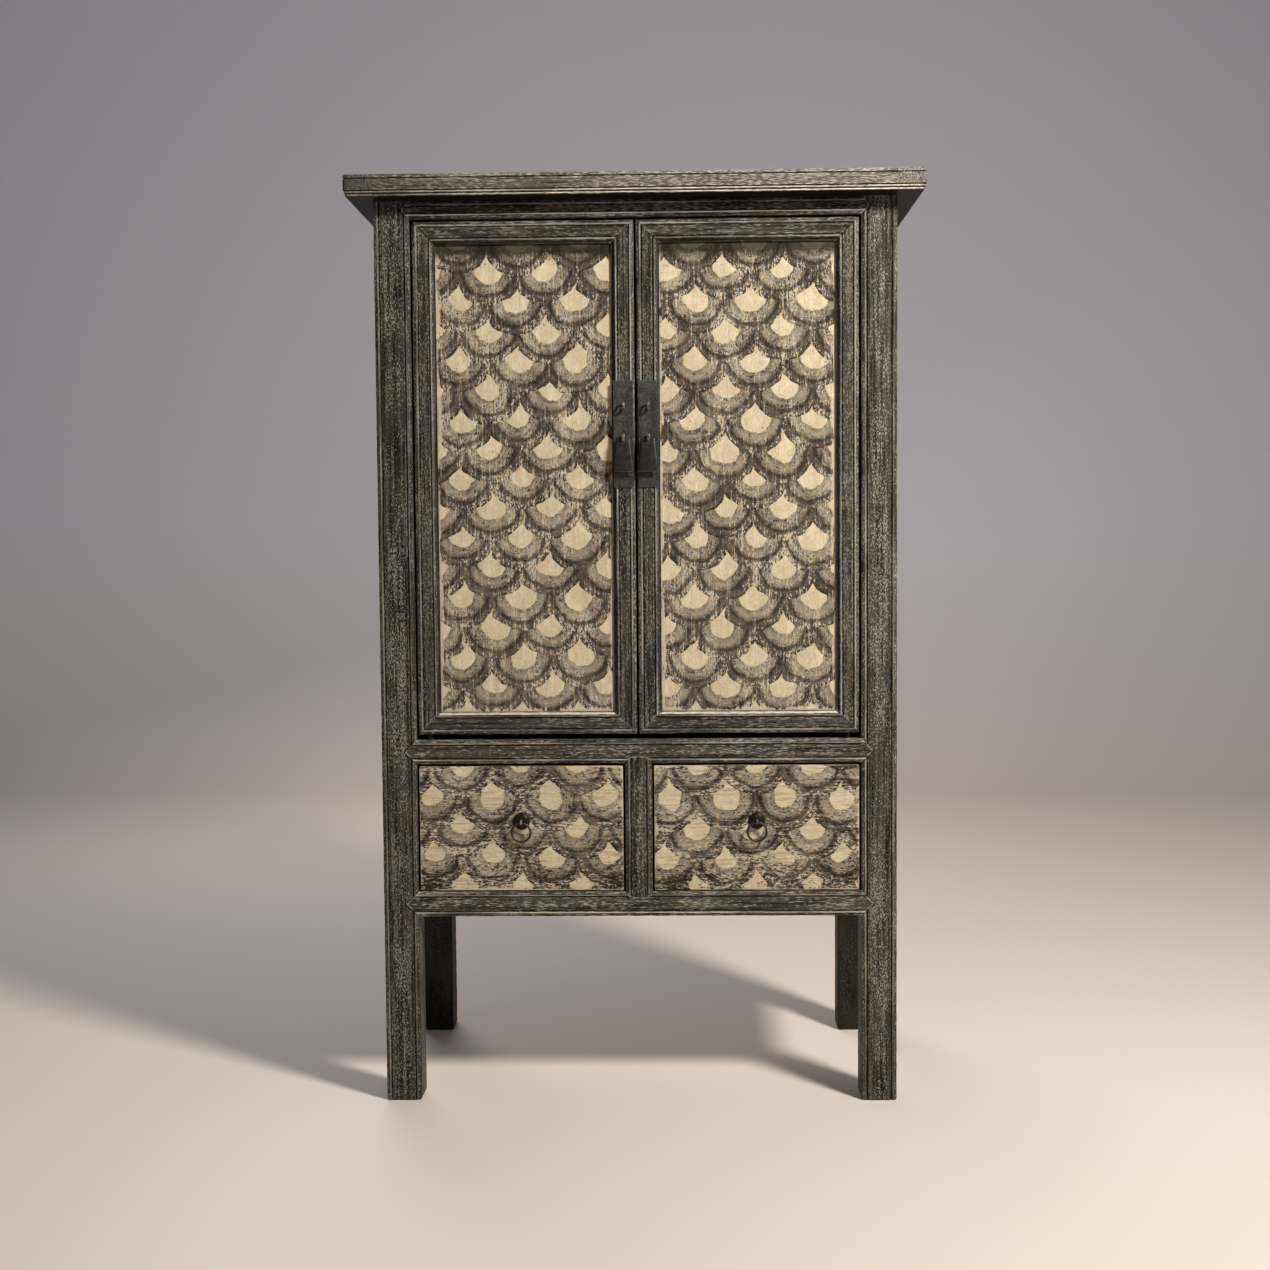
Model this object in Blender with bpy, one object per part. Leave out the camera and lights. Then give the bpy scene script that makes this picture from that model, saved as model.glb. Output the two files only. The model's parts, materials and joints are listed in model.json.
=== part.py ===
"""A free-standing cabinet of frame-and-panel joinery: two doors over two drawers, on its four posts.

Metres, +Z up. The front faces -Y, and the origin is on the floor under the middle of the top.
"""
import math

import bmesh
import bpy
from mathutils import Matrix, Vector

# Overall sizes
OVERALL_HEIGHT = 1.750
BODY_WIDTH = 0.978
BODY_DEPTH = 0.522
POST_SIZE = 0.067
LEG_LENGTH = 0.357

# Top
TOP_THICKNESS = 0.041
TOP_OVERHANG = 0.045
CLEAT_WIDTH = 0.052
TOP_BEAD_WIDTH = 0.006

# Rails and divider
RAIL_DEPTH = 0.034
TOP_RAIL_HEIGHT = 0.034
MIDDLE_RAIL_HEIGHT = 0.046
BOTTOM_RAIL_HEIGHT = 0.048
DRAWER_OPENING_HEIGHT = 0.245
DIVIDER_WIDTH = 0.051
SIDE_RAIL_SETBACK = 0.004

# Mouldings
BEAD_WIDTH = 0.009
BEAD_DEPTH = 0.0022
QUIRK_WIDTH = 0.002
BEAD_STEPS = 4

# Boards
SIDE_PANEL_THICKNESS = 0.010
BACK_PANEL_THICKNESS = 0.010
BACK_PANEL_SETBACK = 0.010
FLOOR_THICKNESS = 0.014
FLOOR_DROP = 0.004
DECK_THICKNESS = 0.014
SHELF_THICKNESS = 0.016
SHELF_HEIGHT = 1.190
SHELF_SETBACK = 0.070
BEARER_WIDTH = 0.020
BEARER_HEIGHT = 0.025
GUIDE_HEIGHT = 0.030

# Joinery
FIT = 0.0003
TONGUE = 0.006
TENON_LENGTH = 0.030
TENON_THICKNESS = 0.012
TENON_SHOULDER = 0.010
DIVIDER_TENON = 0.012
TENON_ROOT = 0.004

# Doors
DOOR_THICKNESS = 0.026
DOOR_SETBACK = 0.004
DOOR_SIDE_GAP = 0.004
DOOR_MEETING_GAP = 0.004
DOOR_TOP_GAP = 0.004
DOOR_BOTTOM_GAP = 0.010
DOOR_FRAME_WIDTH = 0.043
DOOR_INNER_BEAD_WIDTH = 0.0065
DOOR_BEVEL_WIDTH = 0.0055
DOOR_BEVEL_DEPTH = 0.0065
DOOR_PANEL_RECESS = 0.008
DOOR_PANEL_THICKNESS = 0.009
DOOR_TENON_LENGTH = 0.014
DOOR_TENON_THICKNESS = 0.0035
DOOR_TENON_INSET = 0.0025
DOOR_TENON_HALF_HEIGHT = 0.006
PIVOT_INSET = 0.0215
PIVOT_RADIUS = 0.006
PIVOT_SEAT = 0.014
PIVOT_CLEARANCE = 0.0003
PIVOT_SIDES = 24

# Drawers
DRAWER_SETBACK = 0.004
DRAWER_GAP = 0.004
DRAWER_FOOT_GAP = 0.0012
DRAWER_FRONT_THICKNESS = 0.020
DRAWER_WALL_THICKNESS = 0.012
DRAWER_WALL_HEIGHT = 0.190
DRAWER_LENGTH = 0.440
DRAWER_BOTTOM_THICKNESS = 0.007
DRAWER_BOTTOM_LIFT = 0.010

# Door ironwork
PLATE_WIDTH = 0.0375
PLATE_HEIGHT = 0.200
PLATE_THICKNESS = 0.0015
PLATE_MIDDLE_HEIGHT = 1.272
LOCK_STAPLE_HEIGHT = 1.324
PULL_STAPLE_HEIGHT = 1.265
STAPLE_WIDTH = 0.005
STAPLE_THICKNESS = 0.0022
STAPLE_EYE_RADIUS = 0.0069
STAPLE_STANDOFF = 0.009
PULL_LENGTH = 0.062
PULL_TOP_WIDTH = 0.025
PULL_BOTTOM_WIDTH = 0.038
PULL_THICKNESS = 0.0024
PULL_CROWN = 0.0015
PULL_HOLE_HEIGHT = 0.0050
PULL_BRIDGE = 0.0030
PULL_SEAT_GAP = 0.0006
PULL_STEPS = 6

# Drawer ironwork
RING_PULL_HEIGHT = 0.5395
ROSE_RADIUS = 0.016
ROSE_HEIGHT = 0.007
ROSE_SHEET = 0.0012
ROSE_HOLE_RADIUS = 0.0032
ROSE_SIDES = 32
ROSE_STEPS = 6
ROSE_RIM_ANGLE_DEG = 40
COTTER_WIDTH = 0.0035
COTTER_THICKNESS = 0.0016
COTTER_EYE_RADIUS = 0.0042
COTTER_STANDOFF = 0.0055
RING_RADIUS = 0.020
RING_WIRE_RADIUS = 0.00175
RING_SEAT_GAP = 0.0005
RING_STEPS = 32
WIRE_SIDES = 8

# Bent strap of the staples and cotters
STRAP_LEG_GAP = 0.0005
STRAP_CLINCH = 0.008
STRAP_CLEARANCE = 0.0004
STRAP_EYE_STEPS = 12

# Planes and levels that the pieces share
HALF_WIDTH = BODY_WIDTH / 2
INNER_X = HALF_WIDTH - POST_SIZE
FRONT_Y = -BODY_DEPTH / 2
BACK_Y = BODY_DEPTH / 2
DRAWER_FLOOR_Z = LEG_LENGTH + BOTTOM_RAIL_HEIGHT
MIDDLE_RAIL_Z = DRAWER_FLOOR_Z + DRAWER_OPENING_HEIGHT
DOOR_SILL_Z = MIDDLE_RAIL_Z + MIDDLE_RAIL_HEIGHT
BODY_TOP_Z = OVERALL_HEIGHT - TOP_THICKNESS
DOOR_HEAD_Z = BODY_TOP_Z - TOP_RAIL_HEIGHT
SIDE_RAIL_X = HALF_WIDTH - SIDE_RAIL_SETBACK
SIDE_PANEL_X = SIDE_RAIL_X - (RAIL_DEPTH - SIDE_PANEL_THICKNESS) / 2
SIDE_PANEL_INNER_X = SIDE_PANEL_X - SIDE_PANEL_THICKNESS
BACK_PANEL_Y = BACK_Y - BACK_PANEL_SETBACK
BACK_PANEL_INNER_Y = BACK_PANEL_Y - BACK_PANEL_THICKNESS
BACK_RAIL_Y = BACK_Y - SIDE_RAIL_SETBACK
POST_BACK_Y = FRONT_Y + POST_SIZE
DOOR_FRONT_Y = FRONT_Y + DOOR_SETBACK
DOOR_BACK_Y = DOOR_FRONT_Y + DOOR_THICKNESS
PIVOT_Y = DOOR_FRONT_Y + DOOR_THICKNESS / 2
DOOR_LOW_Z = DOOR_SILL_Z + DOOR_BOTTOM_GAP
DOOR_HIGH_Z = DOOR_HEAD_Z - DOOR_TOP_GAP
DRAWER_FRONT_Y = FRONT_Y + DRAWER_SETBACK
DRAWER_BOX_Y = DRAWER_FRONT_Y + DRAWER_FRONT_THICKNESS

X = Vector((1, 0, 0))
Y = Vector((0, 1, 0))
Z = Vector((0, 0, 1))
SIDES = {"left": -1, "right": 1}

# Shapes added to a piece, such as tenons, and shapes cut from it, such as mortises, by the piece's name
added = {}
removed = {}


def make_finish(name, colour, roughness, metallic):
    """A plain finish: colour in linear values, roughness and metallic from 0 to 1."""
    finish = bpy.data.materials.new(name)
    finish.use_nodes = True
    shader = finish.node_tree.nodes["Principled BSDF"]
    shader.inputs["Base Color"].default_value = (*colour, 1.0)
    shader.inputs["Roughness"].default_value = roughness
    shader.inputs["Metallic"].default_value = metallic
    return finish


def mesh_from_shapes(name, shapes, closed_loop=False):
    """A mesh of solids. A shape is a row of rings of points, capped at its ends or closed into a loop."""
    build = bmesh.new()
    for rings in shapes:
        loops = [[build.verts.new(point) for point in ring] for ring in rings]
        pairs = list(zip(loops, loops[1:]))
        if closed_loop:
            pairs.append((loops[-1], loops[0]))
        else:
            build.faces.new(loops[0])
            build.faces.new(loops[-1])
        for near, far in pairs:
            for index in range(len(near)):
                after = (index + 1) % len(near)
                build.faces.new((near[index], near[after], far[after], far[index]))
    bmesh.ops.recalc_face_normals(build, faces=build.faces)
    mesh = bpy.data.meshes.new(name)
    build.to_mesh(mesh)
    build.free()
    return mesh


def add_piece(name, rings, finish, closed_loop=False):
    """One named piece, in its place, with its finish."""
    mesh = mesh_from_shapes(name, [rings], closed_loop)
    mesh.materials.append(finish)
    piece = bpy.data.objects.new(name, mesh)
    bpy.context.collection.objects.link(piece)
    return piece


def box_rings(low, high):
    """The two ends of a box between its lowest and highest corners."""
    corners = ((low[0], low[1]), (high[0], low[1]), (high[0], high[1]), (low[0], high[1]))
    return [[(x, y, z) for x, y in corners] for z in (low[2], high[2])]


def upright_rings(centre_x, centre_y, radius, low_z, high_z):
    """The two ends of an upright round pin or hole."""
    turns = [2 * math.pi * step / PIVOT_SIDES for step in range(PIVOT_SIDES)]
    circle = [(centre_x + radius * math.cos(turn), centre_y + radius * math.sin(turn)) for turn in turns]
    return [[(x, y, z) for x, y in circle] for z in (low_z, high_z)]


def ordered(first, second):
    """The lowest and highest corners of the box between two points."""
    low = tuple(min(pair) for pair in zip(first, second))
    high = tuple(max(pair) for pair in zip(first, second))
    return low, high


def house(receiver, low, high, clearance=FIT):
    """Cuts room for a box in a piece, with a clearance all round it."""
    roomy_low = tuple(value - clearance for value in low)
    roomy_high = tuple(value + clearance for value in high)
    removed.setdefault(receiver, []).append(box_rings(roomy_low, roomy_high))


def tenon(piece, receiver, first, second):
    """A tenon on one piece, in a mortise of the other."""
    low, high = ordered(first, second)
    added.setdefault(piece, []).append(box_rings(low, high))
    house(receiver, low, high)


def combine(piece, shapes, operation):
    """Joins solids to a piece, or cuts them from it."""
    tool = bpy.data.objects.new("joint", mesh_from_shapes("joint", shapes))
    bpy.context.collection.objects.link(tool)
    modifier = piece.modifiers.new("joint", "BOOLEAN")
    modifier.operation = operation
    modifier.solver = "EXACT"
    modifier.object = tool
    bpy.context.view_layer.update()
    shaped = bpy.data.meshes.new_from_object(piece.evaluated_get(bpy.context.evaluated_depsgraph_get()))
    piece.modifiers.clear()
    piece.data = shaped
    bpy.data.objects.remove(tool)


def make_joints():
    """Adds each piece's tenons and pins, then cuts its mortises, grooves and holes."""
    for name, shapes in added.items():
        combine(bpy.data.objects[name], shapes, "UNION")
    for name, shapes in removed.items():
        combine(bpy.data.objects[name], shapes, "DIFFERENCE")


def moulding(strips):
    """Points across a moulded face, as (across, in), over a row of strips given as (kind, width)."""
    points = [(0.0, BEAD_DEPTH)]
    start = 0.0
    for kind, width in strips:
        if kind == "bead":
            for step in range(1, BEAD_STEPS + 1):
                share = step / BEAD_STEPS
                points.append((start + width * share, BEAD_DEPTH * (2 * share - 1) ** 2))
        else:
            points.append((start + QUIRK_WIDTH, 0.0))
            points.append((start + width - QUIRK_WIDTH, 0.0))
            points.append((start + width, BEAD_DEPTH))
        start += width
    return points


def beaded_section(width, depth):
    """A rail or post's section: a bead along both edges of its face, and a plain back."""
    strips = (("bead", BEAD_WIDTH), ("field", width - 2 * BEAD_WIDTH), ("bead", BEAD_WIDTH))
    return moulding(strips) + [(width, depth), (0.0, depth)]


def plain_section(width, depth):
    """A plain rectangular section."""
    return [(0.0, 0.0), (width, 0.0), (width, depth), (0.0, depth)]


def bar(name, section, finish, corner, across, inward, along, length, mitred=False):
    """A straight member: its section at both ends of a run from a corner, cut square or mitred."""
    shift = FIT * math.sqrt(0.5) if mitred else 0.0
    ends = []
    for start, turn in ((0.0, 1), (length, -1)):
        ring = []
        for u, v in section:
            reach = start + turn * (shift + u) if mitred else start
            ring.append(Vector(corner) + across * u + inward * v + along * reach)
        ends.append(ring)
    return add_piece(name, ends, finish)


def stepped_board(name, low_z, high_z, front_y, back_y, wide, finish):
    """A level board between the posts, with wings behind them out to a wider half-width."""
    narrow = INNER_X - FIT
    wing_front = max(POST_BACK_Y + FIT, front_y)
    wing_back = min(-POST_BACK_Y - FIT, back_y)
    half = [(narrow, front_y), (narrow, wing_front), (wide, wing_front),
            (wide, wing_back), (narrow, wing_back), (narrow, back_y)]
    if wing_front == front_y:
        half = half[2:]
    outline = half + [(-x, y) for x, y in reversed(half)]
    return add_piece(name, [[(x, y, z) for x, y in outline] for z in (low_z, high_z)], finish)


def moulded_slab(name, low, high, edges, finish):
    """A slab of the top whose named edges carry the moulding: a double bead, a band and a bead."""
    band = TOP_THICKNESS - 3 * TOP_BEAD_WIDTH
    strips = (("bead", TOP_BEAD_WIDTH), ("bead", TOP_BEAD_WIDTH), ("field", band), ("bead", TOP_BEAD_WIDTH))
    rings = []
    for height, inset in moulding(strips):
        left = low[0] + (inset if "left" in edges else 0.0)
        right = high[0] - (inset if "right" in edges else 0.0)
        front = low[1] + inset
        back = high[1] - inset
        z = BODY_TOP_Z + height
        rings.append([(left, front, z), (right, front, z), (right, back, z), (left, back, z)])
    return add_piece(name, rings, finish)


def make_top(finish):
    """The top board with a cleat across each end, on a tongue."""
    half_length = HALF_WIDTH + TOP_OVERHANG
    half_depth = BODY_DEPTH / 2 + TOP_OVERHANG
    board_end = half_length - CLEAT_WIDTH
    moulded_slab("top_board", (-board_end, -half_depth), (board_end, half_depth), (), finish)
    middle_z = BODY_TOP_Z + TOP_THICKNESS / 2
    for side, sign in SIDES.items():
        name = f"top_cleat_{side}"
        inner = sign * (board_end + FIT)
        low_x, high_x = sorted((inner, sign * half_length))
        moulded_slab(name, (low_x, -half_depth), (high_x, half_depth), (side,), finish)
        root = (sign * (board_end - TENON_ROOT), -half_depth + CLEAT_WIDTH,
                middle_z - TENON_THICKNESS / 2)
        tip = (sign * (board_end + CLEAT_WIDTH / 2), half_depth - CLEAT_WIDTH,
               middle_z + TENON_THICKNESS / 2)
        tenon("top_board", name, root, tip)


def make_posts(finish):
    """The four corner posts, whose lower ends are the legs. The front pair is beaded."""
    height = BODY_TOP_Z - FIT
    for side, sign in SIDES.items():
        corner_x = min(sign * HALF_WIDTH, sign * INNER_X)
        bar(f"post_front_{side}", beaded_section(POST_SIZE, POST_SIZE), finish,
            (corner_x, FRONT_Y, 0.0), X, Y, Z, height)
        bar(f"post_back_{side}", plain_section(POST_SIZE, POST_SIZE), finish,
            (corner_x, BACK_Y, 0.0), X, -Y, Z, height)


def cross_rail(name, posts, low_z, height, front_y, section, finish):
    """A rail along X between two posts, with a tenon into each."""
    length = 2 * (INNER_X - FIT)
    bar(name, section, finish, (-length / 2, front_y, low_z), Z, Y, X, length)
    middle_y = front_y + RAIL_DEPTH / 2
    for side, sign in SIDES.items():
        root = (sign * (length / 2 - TENON_ROOT), middle_y - TENON_THICKNESS / 2,
                low_z + TENON_SHOULDER)
        tip = (sign * (INNER_X + TENON_LENGTH), middle_y + TENON_THICKNESS / 2,
               low_z + height - TENON_SHOULDER)
        tenon(name, f"{posts}_{side}", root, tip)


def make_front_frame(finish):
    """The three front rails and the divider between the drawers."""
    rails = (("front_top_rail", DOOR_HEAD_Z, TOP_RAIL_HEIGHT - FIT),
             ("front_middle_rail", MIDDLE_RAIL_Z, MIDDLE_RAIL_HEIGHT),
             ("front_bottom_rail", LEG_LENGTH, BOTTOM_RAIL_HEIGHT))
    for name, low_z, height in rails:
        section = beaded_section(height, RAIL_DEPTH)
        cross_rail(name, "post_front", low_z, height, FRONT_Y, section, finish)
    bar("drawer_divider", beaded_section(DIVIDER_WIDTH, RAIL_DEPTH), finish,
        (-DIVIDER_WIDTH / 2, FRONT_Y, DRAWER_FLOOR_Z + FIT), X, Y, Z, DRAWER_OPENING_HEIGHT - 2 * FIT)
    middle_y = FRONT_Y + RAIL_DEPTH / 2
    half_width = DIVIDER_WIDTH / 2 - TENON_SHOULDER
    for rail, level, turn in (("front_middle_rail", MIDDLE_RAIL_Z, 1),
                              ("front_bottom_rail", DRAWER_FLOOR_Z, -1)):
        root = (-half_width, middle_y - TENON_THICKNESS / 2, level - turn * TENON_ROOT)
        tip = (half_width, middle_y + TENON_THICKNESS / 2, level + turn * DIVIDER_TENON)
        tenon("drawer_divider", rail, root, tip)


def make_sides(finish):
    """Each side: two rails between the posts and a panel in grooves."""
    rail_front = POST_BACK_Y + FIT
    length = -2 * rail_front
    for side, sign in SIDES.items():
        rails = ((f"side_top_rail_{side}", DOOR_HEAD_Z, TOP_RAIL_HEIGHT - FIT),
                 (f"side_bottom_rail_{side}", LEG_LENGTH, BOTTOM_RAIL_HEIGHT))
        panel = f"side_panel_{side}"
        low, high = ordered((sign * SIDE_PANEL_X, POST_BACK_Y - TONGUE, DRAWER_FLOOR_Z - TONGUE),
                            (sign * SIDE_PANEL_INNER_X, -POST_BACK_Y + TONGUE, DOOR_HEAD_Z + TONGUE))
        add_piece(panel, box_rings(low, high), finish)
        middle_x = SIDE_RAIL_X - RAIL_DEPTH / 2
        for name, low_z, height in rails:
            bar(name, beaded_section(height, RAIL_DEPTH), finish,
                (sign * SIDE_RAIL_X, rail_front, low_z), Z, -sign * X, Y, length)
            house(name, low, high)
            for post, turn in (("post_front", -1), ("post_back", 1)):
                root = (sign * middle_x - TENON_THICKNESS / 2, turn * (length / 2 - TENON_ROOT),
                        low_z + TENON_SHOULDER)
                tip = (sign * middle_x + TENON_THICKNESS / 2, turn * (length / 2 + TENON_LENGTH),
                       low_z + height - TENON_SHOULDER)
                tenon(name, f"{post}_{side}", root, tip)
        for post in ("post_front", "post_back"):
            house(f"{post}_{side}", low, high)


def make_back(finish):
    """The back: a bottom rail, a middle rail under the cabinet floor, and a panel up to the top."""
    bottom_y = BACK_RAIL_Y - RAIL_DEPTH
    middle_y = BACK_PANEL_INNER_Y - FIT - RAIL_DEPTH
    cross_rail("back_bottom_rail", "post_back", LEG_LENGTH, BOTTOM_RAIL_HEIGHT, bottom_y,
               plain_section(BOTTOM_RAIL_HEIGHT, RAIL_DEPTH), finish)
    cross_rail("back_middle_rail", "post_back", MIDDLE_RAIL_Z, MIDDLE_RAIL_HEIGHT, middle_y,
               plain_section(MIDDLE_RAIL_HEIGHT, RAIL_DEPTH), finish)
    low = (-INNER_X - TONGUE, BACK_PANEL_INNER_Y, DRAWER_FLOOR_Z - TONGUE)
    high = (INNER_X + TONGUE, BACK_PANEL_Y, BODY_TOP_Z + TONGUE)
    add_piece("back_panel", box_rings(low, high), finish)
    for receiver in ("back_bottom_rail", "post_back_left", "post_back_right", "top_board"):
        house(receiver, low, high)


def make_inside(finish):
    """The cabinet floor, the deck the drawers slide on, their centre guide, and a shelf on two bearers."""
    rail_back = FRONT_Y + RAIL_DEPTH
    floor_high = DOOR_SILL_Z - FLOOR_DROP
    floor_back = BACK_PANEL_INNER_Y - FIT - RAIL_DEPTH + TONGUE
    wall = SIDE_PANEL_INNER_X - FIT
    stepped_board("cabinet_floor", floor_high - FLOOR_THICKNESS, floor_high,
                  rail_back - TONGUE, floor_back, wall, finish)
    narrow = INNER_X - FIT
    for rail in ("front_middle_rail", "back_middle_rail"):
        house(rail, (-narrow, rail_back - TONGUE, floor_high - FLOOR_THICKNESS),
              (narrow, floor_back, floor_high))
    deck_back = BACK_RAIL_Y - RAIL_DEPTH + TONGUE
    deck_low = DRAWER_FLOOR_Z - DECK_THICKNESS
    stepped_board("drawer_deck", deck_low, DRAWER_FLOOR_Z,
                  rail_back - TONGUE, deck_back, SIDE_RAIL_X - RAIL_DEPTH - FIT, finish)
    for rail in ("front_bottom_rail", "back_bottom_rail"):
        house(rail, (-narrow, rail_back - TONGUE, deck_low), (narrow, deck_back, DRAWER_FLOOR_Z))
    guide_low = (-DIVIDER_WIDTH / 2, rail_back + FIT, DRAWER_FLOOR_Z + FIT)
    guide_high = (DIVIDER_WIDTH / 2, BACK_PANEL_INNER_Y - FIT, DRAWER_FLOOR_Z + GUIDE_HEIGHT)
    add_piece("drawer_centre_guide", box_rings(guide_low, guide_high), finish)
    stepped_board("shelf", SHELF_HEIGHT, SHELF_HEIGHT + SHELF_THICKNESS,
                  FRONT_Y + SHELF_SETBACK, BACK_PANEL_INNER_Y - FIT, wall, finish)
    bearer_high = SHELF_HEIGHT - FIT
    for side, sign in SIDES.items():
        low, high = ordered((sign * wall, POST_BACK_Y + FIT, bearer_high - BEARER_HEIGHT),
                            (sign * (wall - BEARER_WIDTH), -POST_BACK_Y - FIT, bearer_high))
        add_piece(f"shelf_bearer_{side}", box_rings(low, high), finish)


def door_section():
    """A door member's section from its outer edge to the panel: bead, field, bead, bevel and groove."""
    field = DOOR_FRAME_WIDTH - BEAD_WIDTH - DOOR_INNER_BEAD_WIDTH - DOOR_BEVEL_WIDTH
    face = moulding((("bead", BEAD_WIDTH), ("field", field), ("bead", DOOR_INNER_BEAD_WIDTH)))
    groove = DOOR_FRAME_WIDTH - TONGUE - FIT
    groove_front = DOOR_PANEL_RECESS - FIT
    groove_back = DOOR_PANEL_RECESS + DOOR_PANEL_THICKNESS + FIT
    inner_edge = [(DOOR_FRAME_WIDTH, DOOR_BEVEL_DEPTH), (DOOR_FRAME_WIDTH, groove_front)]
    groove_floor = [(groove, groove_front), (groove, groove_back)]
    back_edge = [(DOOR_FRAME_WIDTH, groove_back), (DOOR_FRAME_WIDTH, DOOR_THICKNESS)]
    return face + inner_edge + groove_floor + back_edge + [(0.0, DOOR_THICKNESS)]


def make_pivots(door, pivot_x):
    """Pins at both ends of a door's hinge stile, through the door's corners into the front rails."""
    seat_z = DOOR_SILL_Z - PIVOT_SEAT
    top_z = DOOR_HEAD_Z + PIVOT_SEAT
    root = DOOR_FRAME_WIDTH
    pins = [upright_rings(pivot_x, PIVOT_Y, PIVOT_RADIUS, seat_z, DOOR_LOW_Z + root),
            upright_rings(pivot_x, PIVOT_Y, PIVOT_RADIUS, DOOR_HIGH_Z - root, top_z)]
    added.setdefault(f"{door}_hinge_stile", []).extend(pins)
    hole_radius = (PIVOT_RADIUS + PIVOT_CLEARANCE) / math.cos(math.pi / PIVOT_SIDES)
    holes = (("front_middle_rail", seat_z - FIT, DOOR_LOW_Z),
             ("front_top_rail", DOOR_HIGH_Z, top_z + FIT),
             (f"{door}_bottom_rail", seat_z, DOOR_LOW_Z + root),
             (f"{door}_top_rail", DOOR_HIGH_Z - root, top_z))
    for rail, low_z, high_z in holes:
        removed.setdefault(rail, []).append(upright_rings(pivot_x, PIVOT_Y, hole_radius, low_z, high_z))


def make_door(side, sign, frame_finish, panel_finish):
    """One door: four mitred members round a panel, hung on pivot pins. Returns a point of their axis."""
    outer_x = sign * (INNER_X - DOOR_SIDE_GAP)
    meeting_x = sign * DOOR_MEETING_GAP / 2
    height = DOOR_HIGH_Z - DOOR_LOW_Z
    width = abs(outer_x - meeting_x)
    section = door_section()
    outward = sign * X
    members = (("hinge_stile", (outer_x, DOOR_FRONT_Y, DOOR_LOW_Z), -outward, Z, height),
               ("meeting_stile", (meeting_x, DOOR_FRONT_Y, DOOR_LOW_Z), outward, Z, height),
               ("bottom_rail", (meeting_x, DOOR_FRONT_Y, DOOR_LOW_Z), Z, outward, width),
               ("top_rail", (meeting_x, DOOR_FRONT_Y, DOOR_HIGH_Z), -Z, outward, width))
    for member, corner, across, along, length in members:
        bar(f"{side}_door_{member}", section, frame_finish, corner, across, Y, along, length, mitred=True)
    entry = DOOR_FRAME_WIDTH - TONGUE
    panel_front = DOOR_FRONT_Y + DOOR_PANEL_RECESS
    low, high = ordered((meeting_x + sign * entry, panel_front, DOOR_LOW_Z + entry),
                        (outer_x - sign * entry, panel_front + DOOR_PANEL_THICKNESS, DOOR_HIGH_Z - entry))
    add_piece(f"{side}_door_panel", box_rings(low, high), panel_finish)
    tenon_back = DOOR_BACK_Y - DOOR_TENON_INSET
    middle = DOOR_FRAME_WIDTH / 2
    for rail, rail_z in (("bottom_rail", DOOR_LOW_Z + middle), ("top_rail", DOOR_HIGH_Z - middle)):
        for stile, edge_x, turn in (("hinge_stile", outer_x, -sign), ("meeting_stile", meeting_x, sign)):
            root = (edge_x + turn * (middle + DOOR_TENON_LENGTH), tenon_back - DOOR_TENON_THICKNESS,
                    rail_z - DOOR_TENON_HALF_HEIGHT)
            tip = (edge_x + turn * (middle - DOOR_TENON_LENGTH), tenon_back,
                   rail_z + DOOR_TENON_HALF_HEIGHT)
            tenon(f"{side}_door_{rail}", f"{side}_door_{stile}", root, tip)
    pivot_x = outer_x - sign * PIVOT_INSET
    make_pivots(f"{side}_door", pivot_x)
    return pivot_x, PIVOT_Y, DOOR_LOW_Z


def make_drawer(side, sign, front_finish, box_finish):
    """One drawer: a painted front, two walls, a back, and a bottom in grooves. Returns the front's foot."""
    near_x = sign * (DIVIDER_WIDTH / 2 + DRAWER_GAP)
    far_x = sign * (INNER_X - DRAWER_GAP)
    low, high = ordered((near_x, DRAWER_FRONT_Y, DRAWER_FLOOR_Z + DRAWER_FOOT_GAP),
                        (far_x, DRAWER_BOX_Y, MIDDLE_RAIL_Z - DRAWER_GAP))
    add_piece(f"{side}_drawer_front", box_rings(low, high), front_finish)
    wall_low = DRAWER_FLOOR_Z + FIT
    wall_high = wall_low + DRAWER_WALL_HEIGHT
    box_back = DRAWER_FRONT_Y + DRAWER_LENGTH
    for wall, edge_x, turn in (("inner", near_x, sign), ("outer", far_x, -sign)):
        low, high = ordered((edge_x, DRAWER_BOX_Y + FIT, wall_low),
                            (edge_x + turn * DRAWER_WALL_THICKNESS, box_back, wall_high))
        add_piece(f"{side}_drawer_wall_{wall}", box_rings(low, high), box_finish)
    inset = DRAWER_WALL_THICKNESS + FIT
    back_front = box_back - DRAWER_WALL_THICKNESS
    low, high = ordered((near_x + sign * inset, back_front, wall_low),
                        (far_x - sign * inset, box_back, wall_high))
    add_piece(f"{side}_drawer_back", box_rings(low, high), box_finish)
    entry = DRAWER_WALL_THICKNESS - TONGUE
    bottom_low = wall_low + DRAWER_BOTTOM_LIFT
    low, high = ordered((near_x + sign * entry, DRAWER_BOX_Y - TONGUE, bottom_low),
                        (far_x - sign * entry, back_front + TONGUE, bottom_low + DRAWER_BOTTOM_THICKNESS))
    add_piece(f"{side}_drawer_bottom", box_rings(low, high), box_finish)
    for receiver in ("front", "wall_inner", "wall_outer", "back"):
        house(f"{side}_drawer_{receiver}", low, high)
    return (near_x + far_x) / 2, DRAWER_FRONT_Y, DRAWER_FLOOR_Z


def strap_path(eye_radius, thickness, eye_y, back_y, eye_z):
    """The middle line, as (y, z), of a strap bent to an eye with two legs clinched behind a board."""
    leg = (thickness + STRAP_LEG_GAP) / 2
    turn_start = math.asin(leg / eye_radius)
    clinch_y = back_y + FIT + thickness / 2
    path = [(clinch_y, eye_z + leg + STRAP_CLINCH), (clinch_y, eye_z + leg)]
    for step in range(STRAP_EYE_STEPS + 1):
        turn = turn_start + (2 * math.pi - 2 * turn_start) * step / STRAP_EYE_STEPS
        path.append((eye_y + eye_radius * math.cos(turn), eye_z + eye_radius * math.sin(turn)))
    return path + [(clinch_y, eye_z - leg), (clinch_y, eye_z - leg - STRAP_CLINCH)]


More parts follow.
